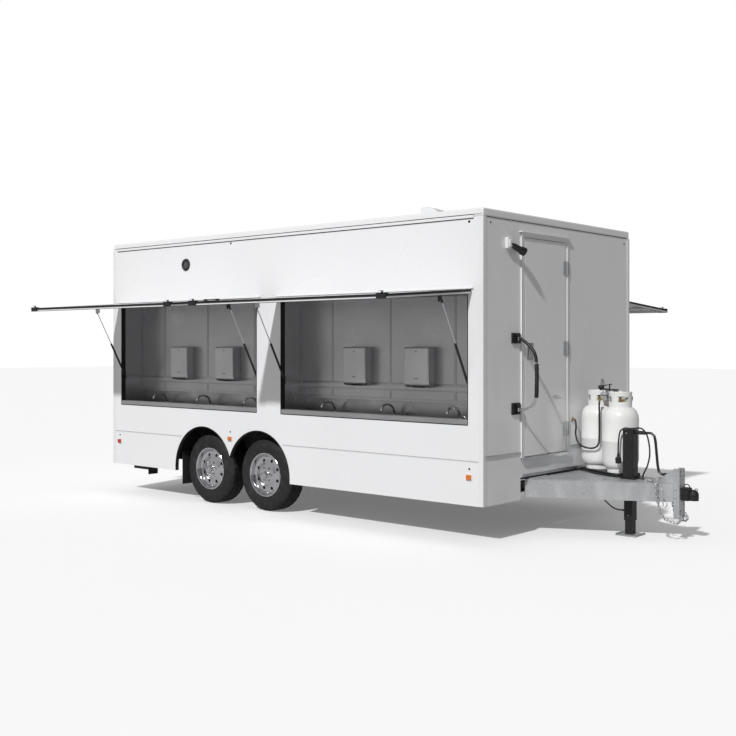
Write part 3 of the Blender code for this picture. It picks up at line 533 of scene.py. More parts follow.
def build_wheel(side_name, end):
    """A trailer tyre with ribbed sidewalls and a chrome modular wheel with round hand holes."""
    side = SIDES[side_name]
    tag = f"{side_name}_{end}"
    body = f"road_wheel_{tag}"
    low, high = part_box(f"tyre_{tag}")
    hub = (low + high) / 2
    place = outward(side, hub.x, hub.z, abs(hub.y) - SIDE_Y)
    profile = TYRE_HALF + [(r, -z) for r, z in reversed(TYRE_HALF)]
    profile += [(0.206, -0.09), (0.206, 0.09), TYRE_HALF[0]]
    tyre = Shape().lathe(profile, place, TYRE_STEPS)
    back = place.inverted()
    for vert in tyre.bm.verts:
        spot = back @ vert.co
        reach = math.hypot(spot.x, spot.y)
        turn = round(math.atan2(spot.y, spot.x) / (2 * math.pi / TYRE_STEPS))
        if reach > 0.3392 and abs(spot.z) > 0.0565 and turn % 4 == 0:
            spot.x *= 1 - 0.007 / reach
            spot.y *= 1 - 0.007 / reach
            vert.co = place @ spot
    made = tyre.piece(f"trailer_tyre_{tag}", TYRE, smooth=0.5, body=body)
    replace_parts(made, f"tyre_{tag}")

    disc = Shape().lathe([(0.03, 0.082), (0.06, 0.0835), (0.092, 0.0815), (0.104, 0.074),
        (0.118, 0.066), (0.15, 0.06), (0.168, 0.062), (0.176, 0.07), (0.184, 0.068), (0.184, 0.058),
        (0.168, 0.054), (0.15, 0.052), (0.116, 0.058), (0.1, 0.066), (0.088, 0.073), (0.03, 0.074),
        (0.03, 0.082)], place, 72)
    holes = Shape()
    for n in range(HAND_HOLES):
        turn = 2 * math.pi * (n + 0.5) / HAND_HOLES
        spot = Vector((0.1405 * math.cos(turn), 0.1405 * math.sin(turn), 0))
        holes.rod(place @ (spot + Vector((0, 0, 0.03))), place @ (spot + Vector((0, 0, 0.1))), 0.0165)
    finish_piece(f"wheel_disc_{tag}", cut_mesh(disc, holes), CHROME, 0.0016, 2, 0.5, body=body)
    rim = Shape().lathe([(0.211, 0.0985), (0.2115, 0.102), (0.208, 0.105), (0.2035, 0.1052),
        (0.1985, 0.103), (0.1935, 0.096), (0.1915, 0.086), (0.1895, 0.08), (0.186, 0.069),
        (0.184, 0.056), (0.1835, 0.03), (0.17, 0.01), (0.168, -0.05), (0.184, -0.085), (0.19, -0.0975),
        (0.2035, -0.0995), (0.21, -0.0985), (0.211, -0.0955), (0.198, -0.093), (0.1905, -0.085),
        (0.176, -0.048), (0.178, 0.008), (0.19, 0.03), (0.192, 0.06), (0.1965, 0.08), (0.199, 0.093),
        (0.205, 0.0975), (0.211, 0.0985)], place, 72)
    made = rim.piece(f"wheel_rim_{tag}", CHROME, smooth=0.45, body=body)
    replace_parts(made, f"wheel_{tag}")
    Shape().lathe([(0, 0.05), (0.12, 0.05), (0.148, 0.042), (0.152, 0.03), (0.152, -0.035),
        (0.04, -0.042), (0.036, -0.095), (0.0225, -0.095), (0.0225, 0.047), (0, 0.047)], place,
        40).piece(f"brake_drum_{tag}", FRAME_BLACK, body=body)
    cap = Shape().lathe([(0, 0.1205), (0.012, 0.1198), (0.022, 0.1165), (0.028, 0.1095), (0.03, 0.098),
        (0.031, 0.09), (0.035, 0.087), (0.0375, 0.0842), (0.0375, 0.079), (0, 0.079)], place, 32)
    for n in range(LUGS):
        turn = 2 * math.pi * n / LUGS
        spot = Vector((0.066 * math.cos(turn), 0.066 * math.sin(turn), 0))
        for radius, other, low_z, high_z, sides in ((0.015, 0.0125, 0.0815, 0.086, 24),
                (0.011, 0.011, 0.0855, 0.1, 6), (0.0105, 0.0045, 0.0998, 0.1055, 24)):
            cap.rod(place @ (spot + Vector((0, 0, low_z))), place @ (spot + Vector((0, 0, high_z))),
                radius, other, sides)
    cap.piece(f"hub_cap_and_nuts_{tag}", CHROME, smooth=0.5, body=body)
    stem = Vector((0.18 * math.cos(0.4), 0.18 * math.sin(0.4), 0))
    valve = Shape().rod(place @ (stem + Vector((0, 0, 0.064))), place @ (stem * 0.97 + Vector((0, 0,
        0.085))), 0.0048, 0.0038)
    valve.rod(place @ (stem * 0.97 + Vector((0, 0, 0.085))), place @ (stem * 0.96 + Vector((0, 0,
        0.094))), 0.0044, 0.004)
    valve.piece(f"valve_stem_{tag}", BLACK_PLASTIC, body=body)


for side_name in SIDES:
    for end_name in ENDS:
        build_wheel(side_name, end_name)


# ---------------------------------------------------------------- hatches and struts
HINGE_Z, HINGE_OUT = 2.0, 0.004
LEAF_TILT = math.radians(4.0)
LEAF_LENGTH = 1.05
STRUT_FOOT = (-0.035, 1.26)
STRUT_HEAD = (0.325, 1.937)
STRUT_INSET = 0.02
STRUT_LENGTH = math.dist(STRUT_FOOT, STRUT_HEAD)
LATCH_INSET = 0.048


def leaf_place(side):
    """Local X along the body, Y out along the open leaf, Z out of its weather face."""
    cosine, sine = math.cos(LEAF_TILT), math.sin(LEAF_TILT)
    return Matrix(((1, 0, 0, 0), (0, side * cosine, side * sine, side * (SIDE_Y + HINGE_OUT)),
        (0, -sine, cosine, HINGE_Z), (0, 0, 0, 1)))


def build_hatch_trim(side_name, end):
    """Gasket, ribs, latches and pull on one awning leaf, and the hinge hood above it."""
    side = SIDES[side_name]
    tag = f"{side_name}_{end}"
    body = f"hatch_leaf_{tag}"
    place = leaf_place(side)
    low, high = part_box(f"hatch_{tag}")
    rear, front = low.x, high.x
    gasket = Shape()
    gasket.box((rear - 0.003, LEAF_LENGTH, 0.0135), (front + 0.003, LEAF_LENGTH + 0.004, 0.0325), place)
    for x in (rear - 0.003, front):
        gasket.box((x, 0.006, 0.0135), (x + 0.003, LEAF_LENGTH, 0.0325), place)
    gasket.piece(f"leaf_gasket_{tag}", SEAL_AND_SHADE_BLACK, 0.0012, body=body)
    bulb = Shape()
    for y in (0.011, LEAF_LENGTH - 0.019):
        bulb.box((rear + 0.006, y, -0.0026), (front - 0.006, y + 0.009, 0.0004), place)
    for x in (rear + 0.006, front - 0.015):
        bulb.box((x, 0.02, -0.0026), (x + 0.009, LEAF_LENGTH - 0.019, 0.0004), place)
    bulb.piece(f"leaf_seal_{tag}", SEAL_AND_SHADE_BLACK, 0.001, body=body)
    ribs = Shape()
    for n in range(1, 4):
        x = rear + (front - rear) * n / 4
        ribs.box((x - 0.022, 0.031, 0.0065), (x + 0.022, LEAF_LENGTH - 0.027, 0.0228), place)
    ribs.box((rear + 0.027, 0.34, 0.0075), (front - 0.027, 0.366, 0.0228), place)
    ribs.box((rear + 0.027, 0.7, 0.0075), (front - 0.027, 0.726, 0.0228), place)
    ribs.piece(f"leaf_ribs_{tag}", ALUMINIUM, 0.0015, body=body)

    latches = Shape()
    for x in (rear + LATCH_INSET, front - LATCH_INSET):
        latches.box((x - 0.047, LEAF_LENGTH - 0.02, 0.0314), (x + 0.047, LEAF_LENGTH + 0.014, 0.04),
            place)
        latches.box((x - 0.047, LEAF_LENGTH + 0.0045, -0.002), (x + 0.047, LEAF_LENGTH + 0.014, 0.04),
            place)
        latches.rod(place @ Vector((x, LEAF_LENGTH - 0.004, 0.039)), place @ Vector((x,
            LEAF_LENGTH - 0.004, 0.052)), 0.0085, 0.007)
        latches.box((x - 0.03, LEAF_LENGTH - 0.01, 0.052), (x + 0.014, LEAF_LENGTH + 0.003, 0.056),
            place)
    if end == "front":
        grip = rear + 0.27
        for x in (grip - 0.075, grip + 0.075):
            latches.box((x - 0.01, LEAF_LENGTH - 0.03, 0.0314), (x + 0.01, LEAF_LENGTH - 0.008, 0.044),
                place)
        latches.box((grip - 0.09, LEAF_LENGTH - 0.032, 0.043), (grip + 0.09, LEAF_LENGTH - 0.006,
            0.048), place)
    latches.piece(f"leaf_latches_{tag}", BLACK, 0.0018, body=body)

    hood = Shape()
    hood.prism([(0, 2.036), (0.013, 2.036), (0.016, 2.04), (0.01, 2.047), (0, 2.066)],
        across(side, (rear + front) / 2), front - rear + 0.03)
    hood.piece(f"hinge_hood_{tag}", TRIM_WHITE, 0.001)
    knuckle = Shape()
    for n in range(0, 24, 2):
        x = rear + (front - rear) * (n + 0.05) / 24
        knuckle.rod((x, side * (SIDE_Y + HINGE_OUT), HINGE_Z + 0.001), (x + 0.088,
            side * (SIDE_Y + HINGE_OUT), HINGE_Z + 0.001), 0.0034)
    knuckle.piece(f"leaf_hinge_{tag}", CASE_STEEL, body=body)


def build_struts(side_name, end):
    """The second gas strut of a leaf, and the ends and brackets of both."""
    side = SIDES[side_name]
    tag = f"{side_name}_{end}"
    jambs = BAY[end]
    for n, jamb in enumerate(jambs):
        way = 1 if n == 0 else -1
        x = jamb + way * STRUT_INSET
        foot = Vector((x, side * (SIDE_Y + STRUT_FOOT[0]), STRUT_FOOT[1]))
        head = Vector((x, side * (SIDE_Y + STRUT_HEAD[0]), STRUT_HEAD[1]))
        place = Matrix.Translation(foot) @ frame_along(head - foot)
        where = f"{tag}_{('rear', 'front')[n]}_jamb"
        if n == 1:
            Shape().lathe([(0, -0.01), (0.006, -0.01), (0.0065, 0.004), (0.0085, 0.01), (0.0105, 0.014),
                (0.0105, 0.38), (0.0095, 0.385), (0.0062, 0.385), (0.0062, 0.02), (0, 0.02)], place,
                24).piece(f"second_strut_tube_{tag}", BLACK, body=f"strut_cylinder_{tag}")
            Shape().lathe([(0, 0.375), (0.0045, 0.375), (0.0045, STRUT_LENGTH - 0.02),
                (0.007, STRUT_LENGTH - 0.018), (0.007, STRUT_LENGTH + 0.004),
                (0.005, STRUT_LENGTH + 0.009), (0, STRUT_LENGTH + 0.009)], place,
                20).piece(f"second_strut_rod_{tag}", CHROME, body=f"strut_piston_{tag}")
        Shape().lathe([(0.0046, STRUT_LENGTH - 0.026), (0.0088, STRUT_LENGTH - 0.023),
            (0.0092, STRUT_LENGTH + 0.007), (0.006, STRUT_LENGTH + 0.0105), (0, STRUT_LENGTH + 0.0105)],
            place, 20).piece(f"strut_socket_{where}", BLACK_PLASTIC, body=f"strut_piston_{tag}")
        bracket = Shape()
        bracket.box((jamb + way * 0.0065, side * (SIDE_Y - 0.058), 1.228),
            (jamb + way * 0.009, side * (SIDE_Y - 0.012), 1.296))
        for z in (1.238, 1.286):
            bracket.rod((jamb + way * 0.0085, foot.y - side * 0.018, z),
                (jamb + way * 0.0125, foot.y - side * 0.018, z), 0.0045, sides=6)
        bracket.piece(f"strut_bracket_{where}", BLACK, 0.0008)
        leaf = leaf_place(side)
        local = leaf.inverted() @ head
        plate = Shape()
        plate.box((x - way * 0.0165, local.y - 0.028, 0.021), (x + way * 0.0165, local.y + 0.028,
            0.0226), leaf)
        if n == 1:
            plate.box((x - 0.017, local.y - 0.024, local.z - 0.012), (x - 0.012, local.y + 0.024,
                0.0226), leaf)
        plate.piece(f"leaf_bracket_{where}", BLACK, 0.0006, body=f"hatch_leaf_{tag}")
        Shape().ball(leaf @ Vector((x + way * 0.0145, local.y, local.z)),
            0.0072).piece(f"leaf_ball_{where}", TRIM_WHITE, body=f"hatch_leaf_{tag}")


for side_name in SIDES:
    for end_name in ENDS:
        build_hatch_trim(side_name, end_name)
        build_struts(side_name, end_name)


# ---------------------------------------------------------------- sink bays
SPOUT = [(0.275, 0.93), (0.275, 0.965), (0.268, 1.01), (0.24, 1.05), (0.19, 1.07), (0.135, 1.066),
    (0.105, 1.045), (0.098, 1.03)]
FAUCET_DEPTH = 0.275
DECK_Z = 0.95
BAY_SEAMS = (0.326, 1.031, 1.731)


def build_bay(side_name, end):
    """Seals, sheet seams, rolled lip and drains of one bay."""
    side = SIDES[side_name]
    tag = f"{side_name}_{end}"
    rear, front = BAY[end]

    def at(x, depth, z):
        return Vector((x, side * (SIDE_Y - depth), z))

    seal = Shape()
    for jamb, way in ((rear, 1), (front, -1)):
        seal.box(at(jamb + way * 0.0062, -0.0005, 0.99), at(jamb + way * 0.0088, 0.05, 1.99))
        seal.box(at(jamb + way * 0.0002, -0.001, 0.948), at(jamb + way * 0.0062, 0.004, 1.994))
    seal.box(at(rear + 0.004, -0.001, 1.988), at(front - 0.004, 0.03, 1.9905))
    seal.box(at(rear + 0.003, -0.0008, 0.9425), at(front - 0.003, 0.0018, 0.95))
    seal.piece(f"opening_seal_{tag}", SEAL_AND_SHADE_BLACK, 0.0006)
    sheets = Shape()
    gaps = Shape()
    for offset in BAY_SEAMS:
        x = front - offset
        for near, far in ((-0.014, -0.0018), (0.0018, 0.014)):
            sheets.box(at(x + near, 0.2672, 1.097), at(x + far, 0.2698, 1.988))
        gaps.box(at(x - 0.0019, 0.2688, 1.097), at(x + 0.0019, 0.2697, 1.988))
    middle = across(side, (rear + front) / 2)
    sheets.prism([(-0.2699, 1.19), (-0.263, 1.213), (-0.2625, 1.228), (-0.263, 1.238),
        (-0.2699, 1.258)], middle, front - rear - 0.016)
    sheets.prism([(-0.2699, 1.095), (-0.266, 1.095), (-0.265, 1.108), (-0.2699, 1.122)], middle,
        front - rear - 0.016)
    for jamb, way in ((rear, 1), (front, -1)):
        sheets.rod(at(jamb + way * 0.0105, 0.2655, 1.1), at(jamb + way * 0.0105, 0.2655, 1.985), 0.004)
    sheets.piece(f"bay_sheet_trim_{tag}", STEEL, 0.0008)
    gaps.piece(f"bay_sheet_gaps_{tag}", SEAL_AND_SHADE_BLACK)
    lip = Shape()
    lip.rod(at(rear + 0.01, 0.0465, 0.9875), at(front - 0.01, 0.0465, 0.9875), 0.0055)
    lip.rod(at(rear + 0.01, 0.0045, 0.987), at(front - 0.01, 0.0045, 0.987), 0.0045)
    lip.box(at(rear + 0.006, -0.0006, 0.952), at(front - 0.006, 0.0022, 0.986))
    lip.piece(f"trough_lip_{tag}", CASE_STEEL, 0.001)
    drain = Shape()
    for x in FAUCET_X[end]:
        place = Matrix.Translation(at(x, 0.14, 0.8))
        drain.lathe([(0.026, 0.0004), (0.026, 0.002), (0.03, 0.0044), (0.044, 0.004), (0.048, 0.0016),
            (0.048, 0.0002), (0.026, 0.0004)], place, 32)
        for n in range(-2, 3):
            reach = math.sqrt(0.027 ** 2 - (n * 0.01) ** 2)
            drain.rod(at(x + n * 0.01, 0.14 - reach, 0.8014), at(x + n * 0.01, 0.14 + reach, 0.8014),
                0.0012, sides=8)
    drain.piece(f"trough_drains_{tag}", CHROME)

    faucets = Shape()
    for x in FAUCET_X[end]:
        faucets.sweep(smooth_route([at(x, depth, z) for depth, z in SPOUT], 0.01), 0.0105, 18)
        faucets.lathe([(0, 0.03), (0.0118, 0.03), (0.014, 0.02), (0.019, 0.012), (0.026, 0.007),
            (0.027, 0.003), (0.027, 0.0004), (0, 0.0004)], Matrix.Translation(at(x, FAUCET_DEPTH,
            DECK_Z)), 32)
        faucets.rod(at(x, 0.0985, 1.036), at(x, 0.0975, 1.021), 0.0128, 0.0122, 24)
        faucets.box(at(x + 0.03, 0.262, DECK_Z + 0.0004), at(x + 0.078, 0.29, DECK_Z + 0.005))
        faucets.rod(at(x + 0.054, 0.276, DECK_Z + 0.004), at(x + 0.054, 0.276, 0.984), 0.01, 0.0085)
        faucets.rod(at(x + 0.054, 0.276, 0.984), at(x + 0.064, 0.232, 1.0), 0.0058, 0.004)
        faucets.ball(at(x + 0.054, 0.276, 0.985), 0.0105)
        faucets.ball(at(x + 0.064, 0.232, 1.0), 0.006)
    faucets.rod(at(FAUCET_X[end][0] - 0.05, FAUCET_DEPTH, 0.92), at(FAUCET_X[end][2] + 0.05,
        FAUCET_DEPTH, 0.92), 0.0135)
    made = faucets.piece(f"arched_faucets_{tag}", CHROME, smooth=0.6)
    if side_name == "right":
        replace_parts(made, f"faucet_row_{tag}")


LOCK_Z = 1.532


def build_dispenser(side_name, end, n):
    """A steel wall dispenser: rounded lower edge, framed cover, lock and outlet."""
    side = SIDES[side_name]
    low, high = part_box(f"dispenser_right_{end}_{n}")
    x = (low.x + high.x) / 2
    half = (high.x - low.x) / 2
    tag = f"{side_name}_{end}_{n}"
    case = Shape().prism([(-0.2697, 1.225), (-0.215, 1.225), (-0.2, 1.229), (-0.186, 1.238),
        (-0.176, 1.252), (-0.1715, 1.27), (-0.17, 1.3), (-0.17, 1.556), (-0.173, 1.565), (-0.18, 1.57),
        (-0.2697, 1.57)], across(side, x), 2 * half)
    made = case.piece(f"soap_dispenser_{tag}", CASE_STEEL, 0.004, segments=3)
    if side_name == "right":
        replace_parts(made, f"dispenser_{tag}")

    def at(across_x, depth, z):
        return Vector((x + across_x, side * (SIDE_Y - depth), z))

    cover = Shape().box(at(-half + 0.01, 0.1705, 1.282), at(half - 0.01, 0.1682, 1.556))
    cover.piece(f"dispenser_cover_{tag}", CASE_STEEL, 0.0015)
    dark = Shape()
    for near, far in ((-half - 0.0006, -half + 0.0002), (half - 0.0002, half + 0.0006)):
        dark.box(at(near, 0.252, 1.232), at(far, 0.2495, 1.562))
    dark.box(at(-half + 0.006, 0.252, 1.5696), at(half - 0.006, 0.2495, 1.5706))
    dark.box(at(-0.062, 0.222, 1.2262), at(0.062, 0.196, 1.2236))
    dark.rod(at(0, 0.1684, LOCK_Z), at(0, 0.166, LOCK_Z), 0.0042)
    dark.box(at(-0.018, 0.1684, 1.3), at(0.018, 0.1677, 1.306))
    dark.piece(f"dispenser_gaps_{tag}", SEAL_AND_SHADE_BLACK, slot="black_plastic")
    Shape().lathe([(0.0044, 0.0), (0.0044, 0.0036), (0.0062, 0.0042), (0.008, 0.003), (0.0088, 0.0)],
        outward(side, x, LOCK_Z, -0.1684), 24).piece(f"dispenser_lock_{tag}", CHROME)


for side_name in SIDES:
    for end_name in ENDS:
        build_bay(side_name, end_name)
        for number in (1, 2):
            build_dispenser(side_name, end_name, number)


# ---------------------------------------------------------------- side walls
ARCH_RADIUS = 0.425
WHEEL_Z = (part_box("tyre_right_front")[0].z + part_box("tyre_right_front")[1].z) / 2
WHEEL_X = {end: (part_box(f"tyre_right_{end}")[0].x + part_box(f"tyre_right_{end}")[1].x) / 2 for end in
    ENDS}
MARKERS = ((REAR_X + 0.117, 0.551, RED), (FRONT_X - 2.982, 0.677, AMBER),
    (FRONT_X - 0.135, 0.533, AMBER))


def arch_arc(end, radius):
    """Points of one wheel arch between the body's lower edge and the other arch."""
    foot = math.asin((BODY_BOTTOM - WHEEL_Z) / ARCH_RADIUS)
    crossing = math.acos((WHEEL_X["front"] - WHEEL_X["rear"]) / 2 / ARCH_RADIUS)
    begin, finish = (math.pi - foot, crossing) if end == "rear" else (math.pi - crossing, foot)
    return [(WHEEL_X[end] + radius * math.cos(begin + (finish - begin) * n / 28),
        WHEEL_Z + radius * math.sin(begin + (finish - begin) * n / 28)) for n in range(29)]


def build_side_trim(side_name):
    """Roof rail, painted shade lines along it and at the skirt seam, corner angles, arch edges, marker
    lamps, vent and mud flap.
    """
    side = SIDES[side_name]

    def at(x, out, z):
        return Vector((x, side * (SIDE_Y + out), z))

    rail = Shape().box(at(REAR_X + 0.074, 0, 2.599), at(FRONT_X - 0.092, 0.008, 2.623))
    rail.box(at(REAR_X + 0.012, 0, 2.629), at(FRONT_X - 0.012, 0.006, 2.64))
    for end_x, way in ((FRONT_X, 1), (REAR_X, -1)):
        rail.box(at(end_x - way * 0.04, -0.001, 0.306), at(end_x + way * 0.003, 0.003, 2.6085))
        rail.box(at(end_x - way * 0.001, -0.042, 0.306), at(end_x + way * 0.003, 0.003, 2.6085))
    rail.piece(f"roof_rail_and_corners_{side_name}", TRIM_WHITE, 0.0018)
    # Painted shade: dark strips under the roof rail, in the slot between the rail and its drip lip, and
    # along the skirt seam's groove. The round dark dots sit above the marker lamps and near the roof.
    dark = Shape().box(at(REAR_X + 0.074, 0, 2.6232), at(FRONT_X - 0.092, 0.004, 2.6288))
    dark.box(at(REAR_X + 0.074, 0, 2.593), at(FRONT_X - 0.092, 0.004, 2.5988))
    dark.box(at(REAR_X + 0.042, 0, 0.6588), at(WHEEL_X["rear"] - 0.33, 0.0012, 0.6612))
    dark.box(at(WHEEL_X["front"] + 0.33, 0, 0.6588), at(FRONT_X - 0.042, 0.0012, 0.6612))
    for x, z in ((FRONT_X - 2.973, 2.576), (FRONT_X - 0.136, 2.572)):
        dark.lathe([(0, 0.005), (0.006, 0.0045), (0.01, 0.002), (0.011, 0), (0, 0)],
            outward(side, x, z), 16)
    for x, z, _ in MARKERS:
        dark.lathe([(0, 0.004), (0.006, 0.0035), (0.009, 0.0015), (0.009, 0), (0, 0)],
            outward(side, x, z + 0.066), 16)
    dark.piece(f"side_painted_shade_lines_and_dots_{side_name}", SEAL_AND_SHADE_BLACK)
    skirt = Shape().box(at(REAR_X + 0.042, 0, 0.653), at(WHEEL_X["rear"] - 0.33, 0.0022, 0.6586))
    skirt.box(at(WHEEL_X["front"] + 0.33, 0, 0.653), at(FRONT_X - 0.042, 0.0022, 0.6586))
    skirt.piece(f"skirt_bead_{side_name}", TRIM_WHITE, 0.0008)
    for end in ENDS:
        outer = arch_arc(end, ARCH_RADIUS - 0.0006)
        lining = Shape().prism(outer + arch_arc(end, ARCH_RADIUS - 0.0046)[::-1],
            outward(side, 0, 0, -0.016), 0.036)
        edge = [at(x, 0.0015, z) for x, z in arch_arc(end, ARCH_RADIUS - 0.0015)]
        lining.sweep(edge, 0.0042, 8)
        lining.piece(f"arch_lining_{side_name}_{end}", FLAP)
    for n, (x, z, colour) in enumerate(MARKERS):
        Shape().box(at(x - 0.03, 0, z - 0.025), at(x + 0.03, 0.006, z +
            0.025)).piece(f"marker_base_{side_name}_{n}", TRIM_WHITE, 0.002)
        Shape().box(at(x - 0.024, 0.005, z - 0.0195), at(x + 0.024, 0.018,
            z + 0.0195)).piece(f"marker_lens_{side_name}_{n}", colour, 0.005, segments=3)
    vent_x, vent_z = FRONT_X - 3.652, 2.4
    vent = Shape().lathe([(0.036, 0), (0.036, 0.008), (0.044, 0.013), (0.058, 0.011), (0.063, 0.004),
        (0.063, 0), (0.036, 0)], outward(side, vent_x, vent_z), 40)
    for n in range(-3, 4):
        reach = math.sqrt(0.037 ** 2 - (n * 0.0105) ** 2)
        vent.box(at(vent_x - reach, 0, vent_z + n * 0.0105 - 0.0022), at(vent_x + reach, 0.007,
            vent_z + n * 0.0105 + 0.0022))
    vent.piece(f"round_vent_{side_name}", BLACK_PLASTIC)
    flap_x = FRONT_X - 3.79
    flap = Shape().box((flap_x - 0.004, side * 0.93, 0.16), (flap_x + 0.004, side * 1.152, 0.5))
    flap.box((flap_x - 0.01, side * 0.925, 0.47), (flap_x - 0.003, side * 1.157, 0.505))
    for y in (0.955, 1.04, 1.125):
        flap.rod((flap_x + 0.003, side * y, 0.487), (flap_x + 0.01, side * y, 0.487), 0.008, sides=6)
    flap.piece(f"mud_flap_{side_name}", FLAP, 0.0012)


for side_name in SIDES:
    build_side_trim(side_name)


# ---------------------------------------------------------------- front wall and door
def build_front():
    """Door frame, hinges, paddle, grab bar, porch lamp and trim of the front wall."""
    frame_trim = Shape()
    for low, high in (((0, -0.668, 0.64), (0.007, -0.628, 2.505)), ((0, -0.684, 0.64),
            (0.012, -0.672, 2.52)), ((0, -0.684, 2.486), (0.01, 0.076, 2.52)),
            ((0, -0.7, 2.52), (0.026, 0.085, 2.53)), ((0, 0.055, 0.64), (0.008, 0.076, 2.486))):
        frame_trim.box(*from_wall(low, high))
    frame_trim.piece("door_frame", TRIM_WHITE, 0.0015)
    # Dark strips set into the door gap are partly gasket and partly painted shade in the gap. The strip
    # between the two frame trims is painted shade between them. A dark line runs along the wall's top edge,
    # and two dark dots sit near the roof.
    dark = Shape()
    for low, high in (((-0.02, -0.624, 0.66), (-0.002, -0.6225, 2.48)),
            ((0, -0.6718, 0.64), (0.003, -0.6682, 2.486)), ((-0.02, 0.0322, 0.66),
            (-0.002, 0.0338, 2.48)), ((-0.02, -0.622, 2.4822), (-0.002, 0.032, 2.4836)),
            ((0, -1.18, 2.6055), (0.003, 1.18, 2.61))):
        dark.box(*from_wall(low, high))
    for y, z in ((-1.121, 2.566), (1.116, 2.554)):
        start, end = from_wall((0, y, z), (0.004, y, z))
        dark.rod(start, end, 0.008, 0.006)
    dark.piece("front_wall_gaskets_and_painted_gap_shade", SEAL_AND_SHADE_BLACK)
    sill = Shape().box(*from_wall((0, -0.684, 0.626), (0.022, 0.076, 0.654)))
    sill.rod(*from_wall((0.004, -1.205, 0.7), (0.004, -0.69, 0.7)), 0.0065)
    sill.rod(*from_wall((0.004, 0.082, 0.7), (0.004, 1.205, 0.7)), 0.0065)
    sill.box(*from_wall((0, -0.66, 0.4905), (0.004, 0.66, 0.515)))
    sill.piece("front_sill_and_trim", ALUMINIUM, 0.0012)

    hinge_y = 0.047
    for n, z in enumerate((0.86, 1.56, 2.26)):
        fixed = Shape().rod(*from_wall((0.012, hinge_y, z + 0.0205), (0.012, hinge_y, z + 0.06)),
            0.0064)
        fixed.rod(*from_wall((0.012, hinge_y, z - 0.06), (0.012, hinge_y, z - 0.0205)), 0.0064)
        fixed.box(*from_wall((0.0085, hinge_y + 0.004, z - 0.06), (0.0115, hinge_y + 0.036, z + 0.06)))
        fixed.piece(f"hinge_fixed_{n}", ZINC, 0.0006, slot="stainless")
        moving = Shape().rod(*from_wall((0.012, hinge_y, z - 0.0195), (0.012, hinge_y, z + 0.0195)),
            0.0064)
        moving.box(*from_wall((0.0063, -0.012, z - 0.06), (0.009, 0.0405, z + 0.06)))
        moving.box(*from_wall((0.0063, 0.03, z - 0.019), (0.01, 0.043, z + 0.019)))
        moving.piece(f"hinge_moving_{n}", ZINC, 0.0006, body="door", slot="stainless")
    tray = Shape().box(*from_wall((0.0062, -0.592, 1.462), (0.0078, -0.498, 1.606)))
    tray.lathe([(0, 0.0105), (0.008, 0.01), (0.0095, 0.0075), (0.0095, 0.007), (0, 0.007)],
        Matrix.Translation(from_wall((0, -0.512, 1.476))[0]) @ frame_along((1, 0, 0)), 20)
    tray.piece("door_latch_tray", STEEL, 0.0007, body="door")
    paddle = Shape().box(*from_wall((0.0087, -0.572, 1.492), (0.015, -0.518, 1.579)))
    paddle.box(*from_wall((0.013, -0.57, 1.491), (0.0204, -0.52, 1.502)))
    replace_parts(paddle.piece("door_paddle_plate", CHROME, 0.0022, segments=3, body="door_paddle"),
        "door_latch")
    pull = Shape().box(*from_wall((0.0062, -0.183, 1.139), (0.012, -0.067, 1.152)))
    pull.piece("door_pull_bar", CHROME, 0.0025, segments=3, body="door")

    axis = (0.028, -0.754)
    curve = [(0.0, 1.64), (0.035, 1.632), (0.12, 1.565), (0.16, 1.5), (0.172, 1.4), (0.172, 1.25),
        (0.165, 1.15), (0.13, 1.095), (0.06, 1.062), (0.0, 1.058)]
    route = smooth_route(from_wall(*((axis[0] + out, axis[1], z) for out, z in curve)), 0.014)
    bar = Shape().sweep(route, 0.0118, 20)
    for z in (1.64, 1.058):
        bar.rod(*from_wall((*axis, z - 0.013), (*axis, z + 0.013)), 0.015)
    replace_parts(bar.piece("grab_bar_tube", CHROME, body="grab_bar"), "grab_handle")
    grip_route = [p for p in route if 1.15 < p.z < 1.44 and p.x > FRONT_X + 0.15]
    radii = [0.0165 + 0.0012 * (n % 3 == 0) for n in range(len(grip_route))]
    Shape().sweep(grip_route, radii, 20).piece("grab_bar_grip", HOSE, body="grab_bar", slot="black_plastic")
    upper = [p for p in route if p.z > 1.438]
    Shape().sweep(upper, 0.0132, 20).piece("grab_bar_sleeve", BLACK, body="grab_bar")
    for n, (low_z, high_z, mid_z) in enumerate(((1.6, 1.686, 1.64), (1.016, 1.112, 1.058))):
        mount = Shape().box(*from_wall((0.0003, -0.822, low_z), (0.012, -0.7, high_z)))
        for a, b in ((low_z + 0.004, mid_z - 0.0145), (mid_z + 0.0145, high_z - 0.004)):
            mount.rod(*from_wall((*axis, a), (*axis, b)), 0.0155)
            mount.box(*from_wall((0.01, axis[1] - 0.0145, a), (0.028, axis[1] + 0.0145, b)))
        for y in (-0.808, -0.714):
            mount.rod(*from_wall((0.0115, y, (low_z + high_z) / 2), (0.0165, y, (low_z + high_z) / 2)),
                0.007, sides=6)
        mount.piece(f"grab_bar_mount_{n}", BLACK, 0.0015)

